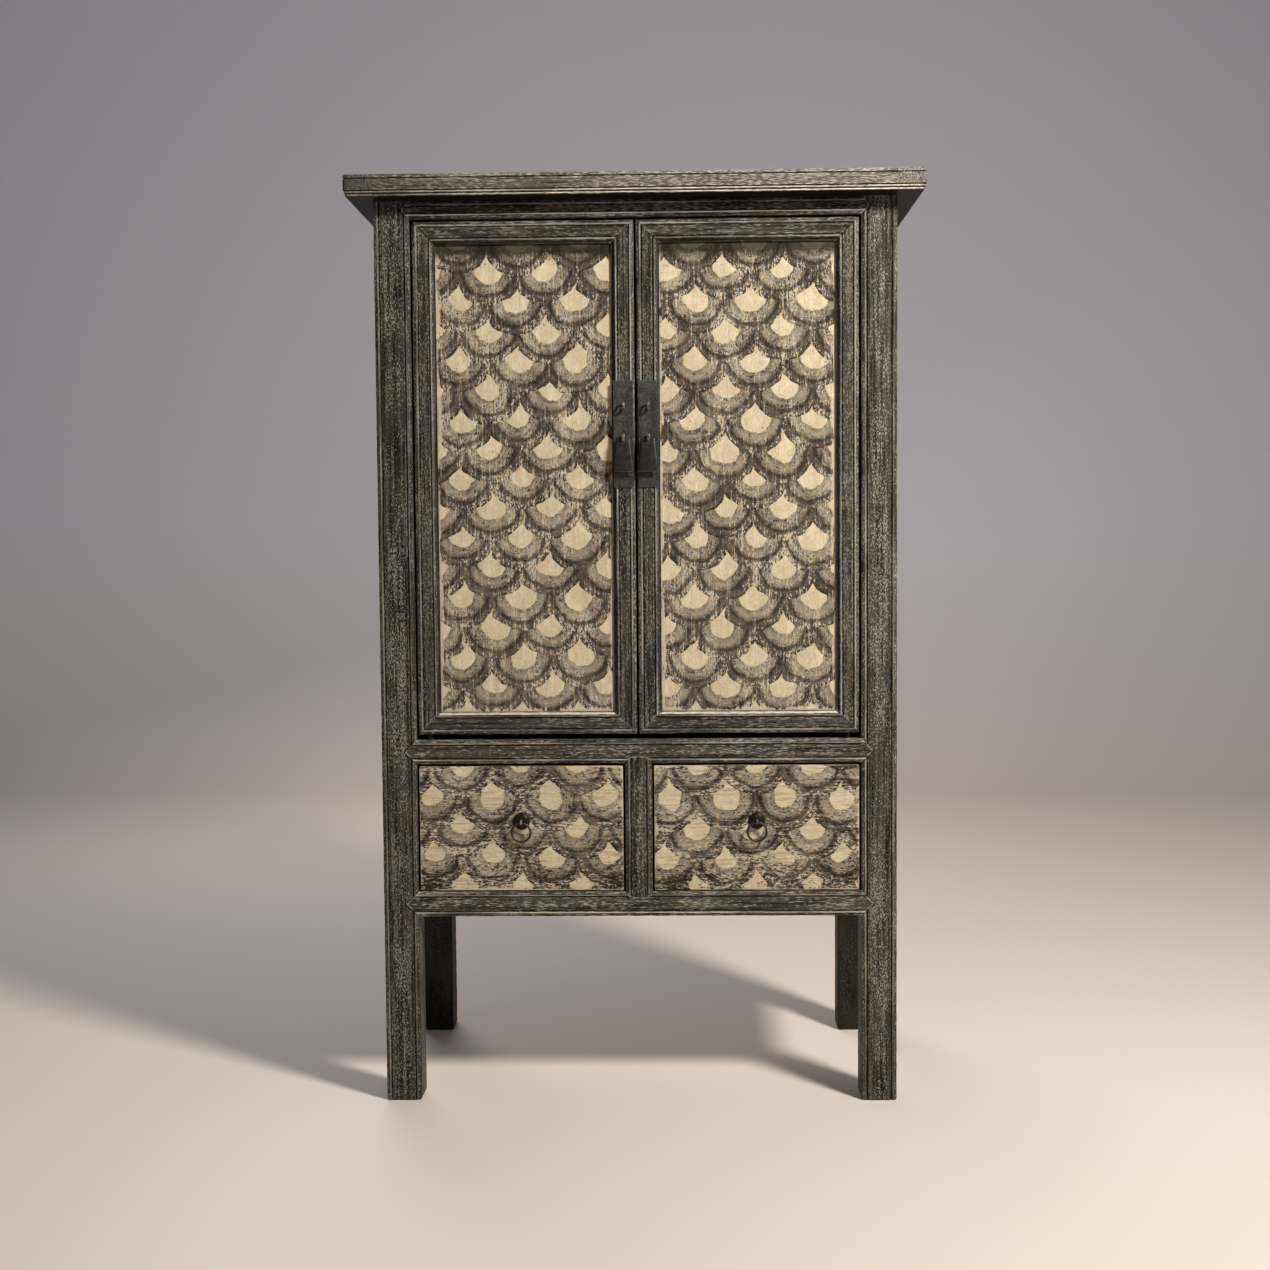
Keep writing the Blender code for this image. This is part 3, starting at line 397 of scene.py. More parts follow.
def scale_paint(name, anchor, kind, visible, worn_down, seed):
    """Hand-painted overlapping scales, worn along the grain, and more towards the lower of two levels.

    anchor is the middle of one scale, as (x, z), kind how such scales were painted, visible the sides, foot
    and head of what shows, and worn_down the two levels.
    """
    grain = kind["grain"]
    cream = kind["cream"]
    dark = kind["dark"]
    low, high, foot, head = visible
    paint = Finish(name)
    noise, span, between, coat = paint.noise, paint.span, paint.between, paint.coat
    specked = paint.drawn_out(grain, PAINT_DRAWN_OUT[grain])
    sooty = paint.drawn_out(grain, PAINT_DRAWN_OUT[grain], (5.0, 2.0, 7.0))
    patched = paint.drawn_out(grain, 0.4)
    streaked = paint.drawn_out(grain, 0.05)
    aside = paint.drawn_out(grain, 1.0, (3.0, 1.0, 2.0))

    wander, drift = (between(noise(spread, 26.0, 2.0), -BRUSH_WANDER, BRUSH_WANDER)
                     for spread in (paint.place, aside))
    spot = paint.split(paint.place)
    x = spot[0] - anchor[0] + wander
    depth = anchor[1] - spot[2] + drift
    scale = top_scale(paint, x, depth, kind["rows"], seed)
    brush = paint.join(scale["turn"] * 2.5, scale["reach"] * 30.0, scale["luck"])
    bristles = noise(brush, 1.0, 3.0, 0.6)
    ragged = noise(specked, 170.0, 3.0, 0.65)
    streaks = noise(streaked, 260.0, 3.0, 0.6)
    grit = noise(specked, 330.0, 3.0, 0.75)
    soot = noise(sooty, 330.0, 3.0, 0.75)
    patches = noise(patched, 30.0, 3.0, 0.6) + streaks * 0.8

    reach = scale["reach"] + between(scale["luck"], -0.05, 0.05)
    reach = reach + span(ragged, 0.25, 0.75, -0.025, 0.025)
    paint.colour = paint.ramp(reach, (
        (cream, PAINT_CREAM), (cream + 0.015, PAINT_SHADE), (cream + 0.06, PAINT_GREY), (0.56, PAINT_LIGHT),
        (0.63, PAINT_GREY), (0.72, dark), (0.77, dark), (0.84, PAINT_WASH), (0.90, PAINT_WASH), (0.98, dark)))
    off_cream = span(reach, cream - 0.01, cream + 0.02)
    in_dark = span(reach, 0.62, 0.72)
    on_cream = between(off_cream, 1.0, 0.0)
    blush = span(noise(aside, 17.0, 3.0, 0.6), 0.48, 0.68)
    coat(blush * between(off_cream, 0.6, 0.0), PAINT_ROSE)
    fresh = span(noise(patched, 70.0, 3.0, 0.6), 0.45, 0.65, 0.0, 0.8)
    coat(fresh * on_cream, PAINT_FRESH)

    cover = noise(aside, 24.0, 3.0, 0.6) + span(bristles, 0.3, 0.7, -0.22, 0.22)
    cover = cover + span(spot[2], *worn_down, 0.06 + kind["worn"], -0.06 + kind["worn"])
    thin = span(cover, 0.50, 0.78, 0.0, 0.55) * off_cream * between(in_dark, 1.0, 0.6)
    coat(thin, PAINT_LIGHT)
    thick = span(cover, 0.28, 0.50, 0.75, 0.0) * off_cream * between(in_dark, 1.0, 0.3)
    coat(thick, PAINT_WASH)
    combed = span(streaks, 0.54, 0.70, 0.0, 0.45) * off_cream
    coat(combed, PAINT_LIGHT)

    footing = span(spot[2], foot, foot + kind["foot_wear"], 1.0, 0.0)
    cut = span(patches, 0.72, 1.08, 0.66, 0.46) - footing * 0.06 - in_dark * kind["salt"]
    salt = span(grit - cut, 0.0, 0.03) * (off_cream * between(in_dark, 0.75, 1.0))
    outline = span(reach, 0.67, 0.71) * span(reach, 0.79, 0.85, 1.0, 0.0)
    salt = salt * between(outline, 1.0, 0.15)
    coat(salt, PAINT_BARE)
    shelter = between(off_cream, 0.09, -kind["soot"]) + between(footing, 0.0, -0.12)
    soot_cut = span(cover, 0.30, 0.70, 0.52, 0.66) + shelter
    pepper = span(soot - soot_cut, -0.01, 0.03, 0.0, 0.95)
    coat(pepper, PAINT_DARK)
    stain = span(streaks, 0.50, 0.72, 0.0, kind["stain"]) * between(off_cream, 1.0, 0.3)
    coat(stain, PAINT_STAIN)
    mottle = span(grit, 0.46, 0.70, 0.0, 0.40) * on_cream
    coat(mottle, PAINT_STAIN)

    edge = paint.maths("MINIMUM", spot[0] - low, high - spot[0])
    edge = paint.maths("MINIMUM", edge, spot[2] - foot)
    edge = edge + span(ragged, 0.2, 0.8, -0.004, 0.004) + span(patches, 0.72, 1.05, 0.005, -0.004)
    coat(span(edge, kind["rim"] * 0.7, kind["rim"], 0.85, 0.0), PAINT_BARE)
    # Painted shadow: the face darkens towards its head, in the shade of the frame that stands proud above it.
    under = head - spot[2] + span(ragged, 0.2, 0.8, -0.006, 0.006)
    darkening = span(under, 0.5 * kind["head_shadow"], kind["head_shadow"], 0.9, 0.0)
    coat(darkening, PAINT_DARK)
    exposure = paint.exposure() + span(ragged, 0.25, 0.75, -0.25, 0.25)
    exposure = exposure + span(patches, 0.72, 1.05, -0.70, 0.05)
    coat(span(exposure, 0.45, 0.75, 0.0, 0.85), PAINT_BARE)
    warmth = span(noise(aside, 48.0, 4.0, 0.7), 0.35, 0.65)
    warmth = paint.pick(between(off_cream, 0.3, 1.0), 0.5, warmth)
    paint.tint(warmth, PAINT_COOL, PAINT_WARM)
    roughness = between(salt, 0.60, 0.82)
    return paint.surface(roughness, streaks * 0.5 + grit * 0.5, PAINT_RELIEF, PAINT_GLOSS)


WOOD_PALE = (0.330, 0.215, 0.115)
WOOD_DEEP = (0.150, 0.085, 0.042)
WOOD_GRIME = (0.050, 0.036, 0.025)
WOOD_DRAWN_OUT = 0.06
WOOD_RINGS = 14.0
WOOD_RELIEF = 0.0003


def bare_wood(name, grain):
    """Bare planed boards: growth rings drawn out along the grain, and some grime."""
    finish = Finish(name)
    run = finish.drawn_out(grain, WOOD_DRAWN_OUT)
    rings = finish.noise(run, 55.0, 3.0, 0.55)
    bands = finish.maths("PINGPONG", rings * WOOD_RINGS, 1.0)
    pores = finish.noise(run, 600.0, 2.0)
    darkening = finish.noise(finish.place, 9.0, 4.0)
    finish.colour = finish.blend(finish.span(bands, 0.1, 0.9), WOOD_PALE, WOOD_DEEP)
    finish.coat(finish.span(pores, 0.55, 0.7, 0.0, 0.6), WOOD_DEEP)
    finish.coat(finish.span(darkening, 0.45, 0.75, 0.0, 0.7), WOOD_GRIME)
    roughness = finish.span(pores, 0.3, 0.7, 0.62, 0.82)
    return finish.surface(roughness, pores * 0.7 + bands * 0.3, WOOD_RELIEF)


IRON_BRIGHT = (0.330, 0.310, 0.280)
IRON_RELIEF = 0.0004


def black_iron(name, dark, light, polish, metal, gloss=0.5):
    """Forged iron, blackened, with a fine hammered grain. polish is how bright its worn places are."""
    finish = Finish(name)
    cloud = finish.noise(finish.place, 90.0, 4.0)
    grain = finish.noise(finish.place, 420.0, 2.0, 0.6)
    finish.colour = finish.blend(finish.span(grain, 0.38, 0.62), dark, light)
    finish.coat(finish.span(cloud, 0.40, 0.60, 0.3 * polish, polish), IRON_BRIGHT)
    roughness = finish.span(cloud, 0.3, 0.7, 0.32, 0.52)
    return finish.surface(roughness, cloud * 0.5 + grain * 0.5, IRON_RELIEF, gloss, metal)


# Node trees that shape pieces

class Shape(Nodes):
    """A node tree that shapes a piece, with named inputs for its sizes and finishes."""

    def __init__(self, name, sizes, finishes):
        super().__init__(bpy.data.node_groups.new(name, "GeometryNodeTree"))
        add = self.tree.interface.new_socket
        add("Geometry", in_out="OUTPUT", socket_type="NodeSocketGeometry")
        add("Geometry", in_out="INPUT", socket_type="NodeSocketGeometry")
        self.inputs = {}
        for labels, kind in ((sizes, "NodeSocketFloat"), (finishes, "NodeSocketMaterial")):
            for label in labels:
                self.inputs[label] = add(label, in_out="INPUT", socket_type=kind).identifier
        sockets = self.tree.nodes.new("NodeGroupInput").outputs
        self.given = {socket.name: Value(self, socket) for socket in sockets}

    def finished(self, geometry):
        """A shape with smooth shading, its instances made real and its finish set."""
        smooth = self.node("GeometryNodeSetShadeSmooth", {0: geometry})
        realized = self.node("GeometryNodeRealizeInstances", {0: smooth})
        return self.node("GeometryNodeSetMaterial", {"Geometry": realized, "Material": self.given["Finish"]})

    def close(self, geometry):
        self.feed(self.tree.nodes.new("NodeGroupOutput").inputs[0], geometry)
        return self


def worn_wood_tree():
    """Rubs a piece back along its edges and crowns, ripples its faces, and gives it its finishes."""
    wood = Shape("worn_wood", ("Edge wear", "Ripple", "Seed"), ("Finish", "Front finish"))
    given = wood.given
    exposure = wood.node("GeometryNodeInputNamedAttribute", {"Name": "exposure"}, "Attribute",
                         data_type="FLOAT")
    position = wood.node("GeometryNodeInputPosition", {})
    normal = wood.node("GeometryNodeInputNormal", {})
    chips, waves = (wood.node("ShaderNodeTexNoise", {"Vector": position, "W": given["Seed"], "Scale": scale,
                                                     "Detail": detail}, noise_dimensions="4D")
                    for scale, detail in (CHIPS, WAVES))
    rubbed = wood.span(chips, *CHIP_SPAN) * wood.span(exposure, *CROWN_SPAN) * given["Edge wear"]
    inward = rubbed + waves * given["Ripple"]
    offset = wood.node("ShaderNodeVectorMath", {0: normal, "Scale": inward * -1.0}, operation="SCALE")
    moved = wood.node("GeometryNodeSetPosition", {"Geometry": given["Geometry"], "Offset": offset})
    plain = wood.finished(moved)
    forward = wood.maths("LESS_THAN", wood.split(normal)[1], FACING_FRONT)
    return wood.close(wood.node("GeometryNodeSetMaterial", {"Geometry": plain, "Selection": forward,
                                                            "Material": given["Front finish"]}))


def forged_bar_tree():
    """Sweeps a flat or round bar along a path."""
    bar = Shape("forged_bar", ("Width", "Thickness", "Corner"), ("Finish",))
    given = bar.given
    path = bar.node("GeometryNodeMeshToCurve", {0: given["Geometry"]})
    outline = bar.node("GeometryNodeCurvePrimitiveQuadrilateral", {"Width": given["Width"],
                                                                   "Height": given["Thickness"]})
    rounded = bar.node("GeometryNodeFilletCurve", {"Curve": outline, "Radius": given["Corner"],
                                                   "Count": IRON_CORNER_STEPS}, mode="POLY")
    swept = bar.node("GeometryNodeCurveToMesh", {"Curve": path, "Profile Curve": rounded, "Fill Caps": True})
    return bar.close(bar.finished(swept))


# Making a piece

def add_object(name, data):
    """An object of a mesh, a light or a camera, in the scene."""
    made = bpy.data.objects.new(name, data)
    bpy.context.scene.collection.objects.link(made)
    return made


def add_built(name, build):
    """An object from a mesh in the making."""
    mesh = bpy.data.meshes.new(name)
    build.to_mesh(mesh)
    build.free()
    return add_object(name, mesh)


def settle(piece):
    """Turns a piece and its modifiers into a plain mesh with crisp corners."""
    bpy.context.view_layer.update()
    shaped = piece.evaluated_get(bpy.context.evaluated_depsgraph_get())
    mesh = bpy.data.meshes.new_from_object(shaped)
    piece.modifiers.clear()
    piece.data = mesh
    mesh.set_sharp_from_angle(angle=SHARP_ANGLE)


def smooth(piece):
    """Shades a piece smoothly between its crisp corners."""
    piece.data.shade_smooth()
    piece.data.set_sharp_from_angle(angle=SHARP_ANGLE)


def apply_tree(piece, shape, values):
    """Runs a node tree on a piece with its named inputs set."""
    modifier = piece.modifiers.new("shape", "NODES")
    modifier.node_group = shape.tree
    for name, value in values.items():
        modifier[shape.inputs[name]] = value
    settle(piece)


def fit(piece, node, body):
    """Puts a piece in a node's stead, on its body."""
    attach(piece, body)
    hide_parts(node)


def weather(piece, finish, front=None, wear=EDGE_WEAR, ripple=RIPPLE):
    """Wears a wooden piece and gives it its finish, with another on the face where one is named."""
    seed = sum(ord(letter) for letter in piece.name) * SEED_STEP
    apply_tree(piece, WORN_WOOD, {"Edge wear": wear, "Ripple": ripple, "Seed": seed,
                                  "Finish": finish, "Front finish": front or finish})


def fit_lacquered(piece, node, finish, body="carcase", **details):
    """Wears and lacquers a piece of the frame, and puts it in its node's stead."""
    weather(piece, finish, **details)
    fit(piece, node, body)


def runs_from(corner, across, inward, along):
    """A rule for places measured across, inward and along from a corner."""
    origin = Vector(corner)

    def spot(u, v, w):
        return origin + across * u + inward * v + along * w
    return spot


def even_steps(length, step):
    """Distances from 0 to a length, about a step apart."""
    count = max(1, round(length / step))
    return [length * index / count for index in range(count + 1)]


def quarter(steps):
    """Angles over a quarter turn."""
    return [math.pi / 2 * step / steps for step in range(steps + 1)]


def bridge(build, near, far):
    """Faces between two closed loops of corners."""
    for index, corner in enumerate(near):
        after = (index + 1) % len(near)
        build.faces.new((corner, near[after], far[after], far[index]))


def bead(start, width):
    """Points across a bead, as (across, in, exposure)."""
    points = []
    for step in range(BEAD_STEPS + 1):
        share = step / BEAD_STEPS
        hump = 1 - (2 * share - 1) ** 2
        exposure = min(1.0, BEAD_CROWN * hump ** CROWN_FALL)
        points.append((start + width * share, BEAD_DEPTH * (1 - hump), exposure))
    return points


def first_bead(start, width):
    """Points across a bead that leans away from the edge that it starts at."""
    lean = 1 / BEAD_LEAN
    return [(start + width * ((across - start) / width) ** lean, deep, exposure)
            for across, deep, exposure in bead(start, width)]


def last_bead(start, width):
    """Points across a bead that leans away from the edge that it ends at, with its crown kept darker as
    painted shade.
    """
    return [(2 * start + width - across, deep, SHADED_CROWN * exposure)
            for across, deep, exposure in reversed(first_bead(start, width))]


def field(start, width):
    """Points across a flat field between two quirks."""
    middle = start + width / 2
    low = QUIRK_WIDTH + ARRIS
    edge = [(0.0, BEAD_DEPTH, 0.0), (QUIRK_MIDDLE, 0.3 * BEAD_DEPTH, 0.1), (QUIRK_TURN, 0.0, 0.4),
            (QUIRK_TURN + ARRIS, 0.0, MARGIN), (low, 0.0, MARGIN)]
    flat = even_steps(width - 2 * low, FACE_STEP)[1:-1]
    return ([(start + across, deep, exposure) for across, deep, exposure in edge]
            + [(start + low + step, 0.0, FLAT) for step in flat]
            + [(2 * middle - start - across, deep, exposure) for across, deep, exposure in reversed(edge)])


def moulded_face(strips):
    """Points across a face made of strips, each given as (shape, width)."""
    points = []
    start = 0.0
    for shape, width in strips:
        points += shape(start, width)[1 if points else 0:]
        start += width
    points[0] = (*points[0][:2], EDGE)
    points[-1] = (*points[-1][:2], EDGE)
    return points


def beaded_face(width):
    """Points across a face with a bead along both edges."""
    return moulded_face(((first_bead, BEAD_WIDTH), (field, width - 2 * BEAD_WIDTH), (last_bead, BEAD_WIDTH)))


def plain_face(width):
    """Points across a flat face with eased edges."""
    middle = [(EASE + step, 0.0, FLAT) for step in even_steps(width - 2 * EASE, FACE_STEP)]
    return ([(0.0, EASE, EDGE), (EASE_MIDDLE, EASE_MIDDLE, EDGE)] + middle
            + [(width - EASE_MIDDLE, EASE_MIDDLE, EDGE), (width, EASE, EDGE)])


def wrapped(face, depth):
    """A closed section: a face, plain sides and a plain back with eased corners."""
    width = face[-1][0]
    sides = [SHOULDER_DEPTH + step for step in even_steps(depth - EASE - SHOULDER_DEPTH, FACE_STEP)]
    right = [(width, deep, FLAT) for deep in sides]
    left = [(0.0, deep, FLAT) for deep in reversed(sides)]
    back = [(width - EASE - step, depth, FLAT) for step in even_steps(width - 2 * EASE, FACE_STEP)]
    return face + right + back + left


def loft(name, rings, caps=(None, None)):
    """A solid through rings of (place, exposure), closed at its ends flat or by a rule of their own."""
    build = bmesh.new()
    wear = build.verts.layers.float.new("exposure")

    def point(place, exposure):
        made = build.verts.new(place)
        made[wear] = exposure
        return made

    loops = [[point(*spot) for spot in ring] for ring in rings]
    for near, far in zip(loops, loops[1:]):
        bridge(build, near, far)
    for loop, cap in zip((loops[0], loops[-1]), caps):
        if cap:
            cap(build, loop, point)
        else:
            build.faces.new(loop)
    bmesh.ops.recalc_face_normals(build, faces=build.faces)
    return add_built(name, build)


def member(name, face, depth, spot, length, mitred=False, round_end=None):
    """A straight member with a moulded face: square ends, mitred ends, or ends rounded across and along."""
    section = wrapped(face, depth)
    width = face[-1][0]
    stations = [0.0, END_LINE] + even_steps(length, STATION_STEP)[1:-1] + [length - END_LINE, length]
    profile = [(station, 0.0) for station in stations]
    if round_end:
        wide, long = round_end
        near = [(long * (1 - math.cos(turn)), wide * (1 - math.sin(turn)))
                for turn in quarter(ROUND_STEPS)[:-1]]
        far = [(length - along, inset) for along, inset in reversed(near)]
        profile = near + [point for point in profile if long < point[0] < length - long] + far
    rings = []
    for station, inset in profile:
        at_end = min(station, length - station) <= END_LINE
        ring = []
        for across, deep, exposure in section:
            u = max(across, inset + SLIVER * across)
            u = min(u, width - inset - SLIVER * (width - across))
            along = station
            if mitred:
                along += (across + MITRE_GAP) * (1 - 2 * station / length)
            if at_end:
                exposure = 1.0
            if inset > EASE and u != across:
                exposure = TAB_OUTLINE
                deep = 0.0 if deep <= BEAD_DEPTH else deep
            ring.append((spot(u, deep, along), exposure))
        rings.append(ring)
    return loft(name, rings)


def board(node, face, axes, limits=None, **ends):
    """A straight member that fills a node's box, or ends at limits along it.

    face is the rule for its face, and axes are its directions across, inward and along.
    """
    low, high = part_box(node)
    across, inward, along = ([abs(share) for share in axis].index(1.0) for axis in axes)
    if limits:
        low[along], high[along] = limits
    starts = sum(axes, Vector((0, 0, 0)))
    corner = [low[axis] if starts[axis] > 0 else high[axis] for axis in range(3)]
    size = [high[axis] - low[axis] for axis in range(3)]
    spot = runs_from(corner, *axes)
    return member(f"{node}_wood", face(size[across]), size[inward], spot, size[along], **ends)


def pointed_rail(name, face, depth, spot, length):
    """A rail whose face runs on past both ends as a mitred point."""
    section = wrapped(face, depth)
    width = face[-1][0]
    last = len(face) - 1
    stations = even_steps(length, STATION_STEP)

    def reach(across):
        return max(0.0, min(across, width - across) - SHOULDER_GAP)

    rings = []
    for station in stations:
        turn = {stations[0]: -1, stations[-1]: 1}.get(station, 0)
        rings.append([(spot(across, deep, station + turn * reach(across) * (deep < SHOULDER_DEPTH)),
                       1.0 if turn else exposure) for across, deep, exposure in section])

    def close(turn, station):
        def cap(build, loop, point):
            front = loop[:last + 1]
            behind = [loop[-1]]
            for across, _, _ in face[1:-1]:
                behind.append(point(spot(across, SHOULDER_DEPTH, station + turn * reach(across)), 0.0))
            behind.append(loop[last + 1])
            for index in range(last):
                build.faces.new((front[index], front[index + 1], behind[index + 1], behind[index]))
            build.faces.new(behind)
            build.faces.new(loop[last + 1:])
        return cap

    return loft(name, rings, (close(-1, stations[0]), close(1, stations[-1])))


def cut_shoulders(post, sign):
    """Cuts the seats of the rails' pointed shoulders into a front post."""
    build = bmesh.new()
    for rail in FRONT_RAILS:
        low, high = (corner.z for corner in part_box(rail))
        mouth = INNER - SHOULDER_GAP
        outline = ((mouth, low), (INNER + (high - low) / 2, (low + high) / 2), (mouth, high))
        loops = [[build.verts.new((sign * x, y, z)) for x, z in outline]
                 for y in (FRONT - SHOULDER_DEPTH, FRONT + SHOULDER_DEPTH + SHOULDER_GAP)]
        build.faces.new(loops[0])
        build.faces.new(loops[1])
        bridge(build, *loops)
    bmesh.ops.recalc_face_normals(build, faces=build.faces)
    cutter = add_built("shoulder_seats", build)
    modifier = post.modifiers.new("seats", "BOOLEAN")
    modifier.operation = "DIFFERENCE"
    modifier.object = cutter
    settle(post)
    bpy.data.objects.remove(cutter)


# Frame

def make_post(name, sign, corner_y, inward, face):
    """A square post with a foot that is rounded a little."""
    section = wrapped(face, POST_SIZE)
    spot = runs_from((min(sign * INNER, sign * OUTER), corner_y, 0.0), X, inward, Z)
    middle = POST_SIZE / 2
    rise = [FOOT_ROUND + step for step in even_steps(BODY_TOP - FOOT_ROUND, STATION_STEP)]
    rings = []
    for station in [0.0, FOOT_LINE] + rise:
        low = max(0.0, 1 - station / FOOT_ROUND)
        squeeze = 1 - 2 * FOOT_ROUND * low ** 2 / POST_SIZE
        ring = []
        for u, v, exposure in section:
            place = spot(middle + (u - middle) * squeeze, middle + (v - middle) * squeeze, station)
            ring.append((place, EDGE if low else exposure))
        rings.append(ring)
    return loft(f"{name}_wood", rings)


def make_posts():
    for side, sign in SIDES.items():
        name = f"post_front_{side}"
        post = make_post(name, sign, FRONT, Y, beaded_face(POST_SIZE))
        cut_shoulders(post, sign)
        fit_lacquered(post, name, POST_LACQUER[side])
        name = f"post_back_{side}"
        fit_lacquered(make_post(name, sign, BACK, -Y, plain_face(POST_SIZE)), name, SHADED_BACK_POST_LACQUER)


def make_front_rails():
    for name in FRONT_RAILS:
        low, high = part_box(name)
        spot = runs_from((-INNER, FRONT, low.z), Z, Y, X)
        rail = pointed_rail(f"{name}_wood", beaded_face(high.z - low.z), high.y - FRONT, spot, 2 * INNER)
        fit_lacquered(rail, name, RAIL_LACQUER[name])
    low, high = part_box("drawer_divider")
    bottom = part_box("front_bottom_rail")[1].z - DIVIDER_LAP
    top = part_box("front_middle_rail")[0].z + DIVIDER_LAP
    spot = runs_from((low.x, FRONT - DIVIDER_PROUD, bottom), X, Y, Z)
    divider = member("drawer_divider_wood", beaded_face(high.x - low.x), high.y - FRONT, spot, top - bottom,
                     round_end=DIVIDER_TAB)
    fit_lacquered(divider, "drawer_divider", DIVIDER_LACQUER, wear=DIVIDER_WEAR, ripple=0.0)


def make_sides():
    ends = (POST_HIGH.y, -POST_HIGH.y)
    for side, sign in SIDES.items():
        for rail in ("side_top_rail", "side_bottom_rail"):
            name = f"{rail}_{side}"
            fit_lacquered(board(name, beaded_face, (Z, -sign * X, Y), ends), name, LACQUER[1])
        name = f"side_panel_{side}"
        fit_lacquered(board(name, plain_face, (Y, -sign * X, Z)), name, LACQUER[2])


def make_back():
    for name in ("back_bottom_rail", "back_middle_rail"):
        fit_lacquered(board(name, plain_face, (Z, -Y, X), (-INNER, INNER)), name, LACQUER[0])
    fit_lacquered(board("back_panel", plain_face, (X, -Y, Z)), "back_panel", LACQUER[2])


# Top

TOP_PROUD = 0.003
TOP_CORNER = 0.006
SMALLEST_CORNER = 1e-5
TOP_STEPS = (0.0030, 0.0010)
TOP_STRIP = 0.0085
TOP_ROUND = 0.005
TOP_MARGIN = 3 * EASE


def rounded_outline(low, high, rounds, counts):
    """Points round a level rectangle from its front left corner on, with rounds at its corners.

    counts are the steps along its front and along its ends.
    """
    corners = ((low[0], low[1], 1, 1), (high[0], low[1], -1, 1),
               (high[0], high[1], -1, -1), (low[0], high[1], 1, -1))
    arcs = []
    for index, ((x, y, turn_x, turn_y), radius) in enumerate(zip(corners, rounds)):
        turns = [math.pi + index * math.pi / 2 + turn for turn in quarter(BEND_STEPS)]
        arcs.append([Vector((x + radius * (turn_x + math.cos(turn)), y + radius * (turn_y + math.sin(turn))))
                     for turn in turns])
    outline = []
    for index, arc in enumerate(arcs):
        ahead = arcs[(index + 1) % 4][0]
        count = counts[index % 2]
        outline += arc[:-1]
        outline += [arc[-1].lerp(ahead, step / count) for step in range(count)]
    return outline


def top_profile(thickness):
    """The top's edge from below, as (height, inset, exposure).

    It has two beads, each further out than the last, a band and a round strip.
    """
    points = []
    for index, step_back in enumerate(TOP_STEPS):
        points += [(height, inset + step_back, exposure)
                   for height, inset, exposure in bead(index * TOP_BEAD_WIDTH, TOP_BEAD_WIDTH)]
    foot = len(TOP_STEPS) * TOP_BEAD_WIDTH
    strip = thickness - TOP_STRIP
    points += field(foot, strip - foot)
    points += [(strip + 0.3 * QUIRK_WIDTH, 0.3 * BEAD_DEPTH, 0.6), (strip + 0.8 * QUIRK_WIDTH, 0.0, FLAT)]
    points += [(thickness - TOP_ROUND * (1 - math.sin(turn)), TOP_ROUND * (1 - math.cos(turn)), TOP_ARRIS)
               for turn in quarter(BEND_STEPS)]
    return points


def make_top():
    for name in ("top_board", "top_cleat_left", "top_cleat_right"):
        left = name.endswith("left")
        right = name.endswith("right")
        low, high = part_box(name)
        if name == "top_board":
            low.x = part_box("top_cleat_left")[1].x
            high.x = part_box("top_cleat_right")[0].x
        low.x -= TOP_PROUD * left
        high.x += TOP_PROUD * right
        counts = [max(1, round(size / STATION_STEP)) for size in (high.x - low.x, high.y - low.y)]
        rounds = [TOP_CORNER * share + SMALLEST_CORNER for share in (left, right, right, left)]
        profile = top_profile(high.z - low.z)
        ends = [(height, inset + TOP_MARGIN) for height, inset, _ in (profile[0], profile[-1])]
        rings = []
        for height, inset, exposure in [(*ends[0], 0.0)] + profile + [(*ends[1], FLAT)]:
            near = (low.x + inset * left, low.y + inset)
            far = (high.x - inset * right, high.y - inset)
            outline = rounded_outline(near, far, rounds, counts)
            rings.append([((x, y, low.z + height), exposure) for x, y in outline])
        fit_lacquered(loft(f"{name}_wood", rings), name, TOP_FACE_LACQUER[left or right],
                      front=TOP_LACQUER[name], ripple=RIPPLE / 2)


# Doors

PIN_RADIUS = 0.006
PIN_ROOT = 0.010
PIN_SIDES = 32
SCALE_ANCHORS = {"left_door": (-0.2192, 1.6415), "right_door": (0.2216, 1.6372),
                 "left_drawer": (-0.2251, 0.6418), "right_drawer": (0.2199, 0.6394)}
PAINT_SEEDS = {"left_door": 3.0, "right_door": 11.0, "left_drawer": 23.0, "right_drawer": 31.0}


def door_face(width, ledge):
    """A door member's face, from its outer edge: a bead, a field, a narrow bead and a bevel to the panel.

    ledge is how pale the bevel is made: rubbed, and on a bottom rail also painted light on the upturned ledge.
    """
    flat = width - BEAD_WIDTH - DOOR_INNER_BEAD_WIDTH - DOOR_BEVEL_WIDTH
    face = moulded_face(((first_bead, BEAD_WIDTH), (field, flat), (bead, DOOR_INNER_BEAD_WIDTH)))
    start = width - DOOR_BEVEL_WIDTH
    for turn in quarter(BEND_STEPS)[1:]:
        face.append((start + DOOR_BEVEL_WIDTH * (1 - math.cos(turn)),
                     BEAD_DEPTH + (DOOR_BEVEL_DEPTH - BEAD_DEPTH) * math.sin(turn), ledge))
    return face


def add_pins(piece, door):
    """The pivot pins on a hinge stile's ends."""
    low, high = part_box(f"{door}_hinge_stile")
    hinge = next(joint for joint in frame["joints"] if joint["name"] == f"{door}_hinge")
    door_low, door_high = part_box(f"{door}_meeting_stile")
    build = bmesh.new()
    build.from_mesh(piece.data)
    for start, end in ((low.z, door_low.z + PIN_ROOT), (door_high.z - PIN_ROOT, high.z)):
        place = Matrix.Translation((hinge["pos_m"][0], hinge["pos_m"][1], (start + end) / 2))
        bmesh.ops.create_cone(build, cap_ends=True, segments=PIN_SIDES, radius1=PIN_RADIUS,
                              radius2=PIN_RADIUS, depth=end - start, matrix=place)
    build.to_mesh(piece.data)
    build.free()


def fit_painted(piece, body, node, wood, kind, visible, worn_down):
    """Wears a piece, paints its face with scales, and puts it in its node's stead."""
    paint = scale_paint(f"{body}_paint", SCALE_ANCHORS[body], kind, visible, worn_down, PAINT_SEEDS[body])
    weather(piece, wood, paint)
    fit(piece, node, body)


